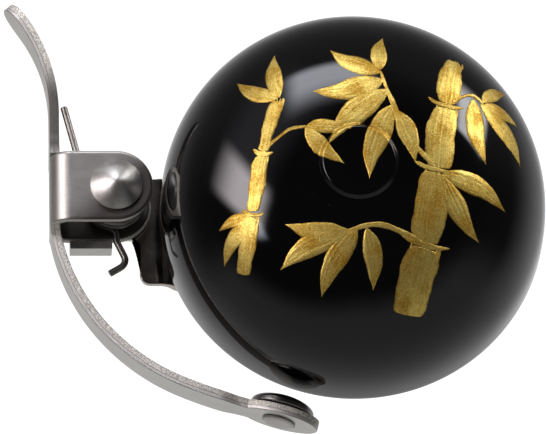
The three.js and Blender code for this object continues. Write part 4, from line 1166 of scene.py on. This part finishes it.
def make_soft_box():
    """A rectangle of light on the sky. The view direction's share along the box's right axis stays under half
    its width, with a soft edge. Its share along the up axis rises over a wide fade from the foot and ends at
    the top with the soft edge. Its share towards the box is positive."""
    group, given, out = new_group(
        "soft box",
        [("Vector", "NodeSocketVector", None), ("Towards", "NodeSocketVector", (0, 0, 1)),
         ("Right", "NodeSocketVector", (1, 0, 0)), ("Up", "NodeSocketVector", (0, 1, 0)),
         ("Width", "NodeSocketFloat", 0.3), ("Height", "NodeSocketFloat", 0.3),
         ("Edge", "NodeSocketFloat", 0.1), ("Fade", "NodeSocketFloat", 0.1)],
        [("Mask", "NodeSocketFloat")])

    def share(axis):
        return add(group, "ShaderNodeVectorMath", {0: given["Vector"], 1: given[axis]},
                   operation="DOT_PRODUCT").outputs["Value"]

    def within(value, size, edge):
        past = math_node(group, "DIVIDE", math_node(group, "SUBTRACT", value, size), edge)
        return ramp(group, past, 0.5, -0.5)

    sideways, upwards = math_node(group, "ABSOLUTE", share("Right")), share("Up")
    mask = times(group, within(sideways, given["Width"], given["Edge"]),
                 within(upwards, given["Height"], given["Edge"]))
    mask = times(group, mask, within(times(group, upwards, -1.0), given["Height"], given["Fade"]))
    mask = times(group, mask, math_node(group, "GREATER_THAN", share("Towards"), 0.0))
    group.links.new(mask, out.inputs["Mask"])
    return group


def make_world():
    """A dark ceiling over walls that are pale in front and dim elsewhere, with soft boxes of light, one of
    them wide and dim. Each box has its azimuth, elevation and roll in degrees, its half width, half height,
    edge and fade as shares of the view direction, and its colour's strength. The camera sees it all white."""
    world = bpy.data.worlds.new("studio")
    world.use_nodes = True
    bpy.context.scene.world = world
    tree = world.node_tree
    tree.nodes.clear()
    way = add(tree, "ShaderNodeTexCoord").outputs["Generated"]
    parts = add(tree, "ShaderNodeSeparateXYZ", {"Vector": way}).outputs
    wall = wall_level(tree, parts["Y"], 0.02, 0.29)
    lifted = times(tree, math_node(tree, "MINIMUM", parts["X"], 0.0), -0.35)
    low = ramp(tree, plus(tree, parts["Z"], lifted), 0.8, 0.35)
    level = plus(tree, times(tree, wall, low), 0.035)
    colour = add(tree, "ShaderNodeCombineXYZ", {"X": level, "Y": level, "Z": level}).outputs[0]
    soft_box = make_soft_box()
    boxes = (
        (168, 42, -24, 0.17, 0.26, 0.13, 0.5, (8.8, 8.1, 8.3)),
        (191, 48, 0, 0.07, 0.06, 0.08, 0.08, (5.0, 5.3, 6.2)),
        (138, 40, 0, 0.42, 0.3, 0.3, 0.5, (0.34, 0.34, 0.37)),
        (98, 37, 180, 0.21, 0.165, 0.14, 0.3, (6.2, 6.3, 6.9)),
        (41.5, 20, 26, 0.13, 0.25, 0.06, 0.3, (9.3, 9.3, 9.5)),
    )
    for azimuth, elevation, roll, width, height, edge, fade, strength in boxes:
        towards = direction(azimuth, elevation)
        right = Vector((0, 0, 1)).cross(towards).normalized()
        up = towards.cross(right)
        turn = math.radians(roll)
        right, up = right * math.cos(turn) + up * math.sin(turn), up * math.cos(turn) - right * math.sin(turn)
        mask = place_group(tree, soft_box, Vector=way, Towards=towards, Right=right, Up=up, Width=width,
                           Height=height, Edge=edge, Fade=fade).outputs[0]
        lit = add(tree, "ShaderNodeVectorMath", {0: strength, "Scale": mask}, operation="SCALE").outputs[0]
        colour = add(tree, "ShaderNodeVectorMath", {0: colour, 1: lit}, operation="ADD").outputs[0]
    room = add(tree, "ShaderNodeBackground", {"Color": colour, "Strength": 1.0})
    white = add(tree, "ShaderNodeBackground", {"Color": (1, 1, 1, 1), "Strength": 1.0})
    rays = add(tree, "ShaderNodeLightPath").outputs
    shown = {0: rays["Is Camera Ray"], 1: room.outputs[0], 2: white.outputs[0]}
    mixed = add(tree, "ShaderNodeMixShader", shown)
    add(tree, "ShaderNodeOutputWorld", {"Surface": mixed.outputs[0]})


def make_camera():
    """A long lens far away. The view is tilted from the dome's axis towards the front and turned a little to
    the left; the dome's middle lies right of and a little above the middle of the picture."""
    tilt, yaw = math.radians(18.5), math.radians(2.6)
    distance, pixels_per_mm = 2500.0, 7.012
    width, height = 546, 434
    dome_x, dome_y = 352.16, 212.91
    right = Vector((math.cos(yaw), -math.sin(yaw) * math.sin(tilt), math.sin(yaw) * math.cos(tilt)))
    up = Vector((0, math.cos(tilt), math.sin(tilt)))
    back = Vector((-math.sin(yaw), -math.cos(yaw) * math.sin(tilt), math.cos(yaw) * math.cos(tilt)))
    centre = Vector((0, 0, EQUATOR))
    place = centre + back * distance
    aim = centre + right * (width / 2 - dome_x) / pixels_per_mm + up * (dome_y - height / 2) / pixels_per_mm
    back = (place - aim).normalized()
    right = up.cross(back).normalized()
    up = back.cross(right)
    camera = bpy.data.cameras.new("camera")
    camera.sensor_width = 36.0
    camera.lens = camera.sensor_width * pixels_per_mm * distance / width
    camera.clip_end = 100.0
    obj = bpy.data.objects.new("camera", camera)
    turn = Matrix((right, up, back)).transposed().to_4x4()
    obj.matrix_world = Matrix.Translation(place * MM) @ turn
    bpy.context.scene.collection.objects.link(obj)
    bpy.context.scene.camera = obj


make_floor()
make_world()
make_camera()
bpy.context.scene.view_settings.view_transform = "Standard"
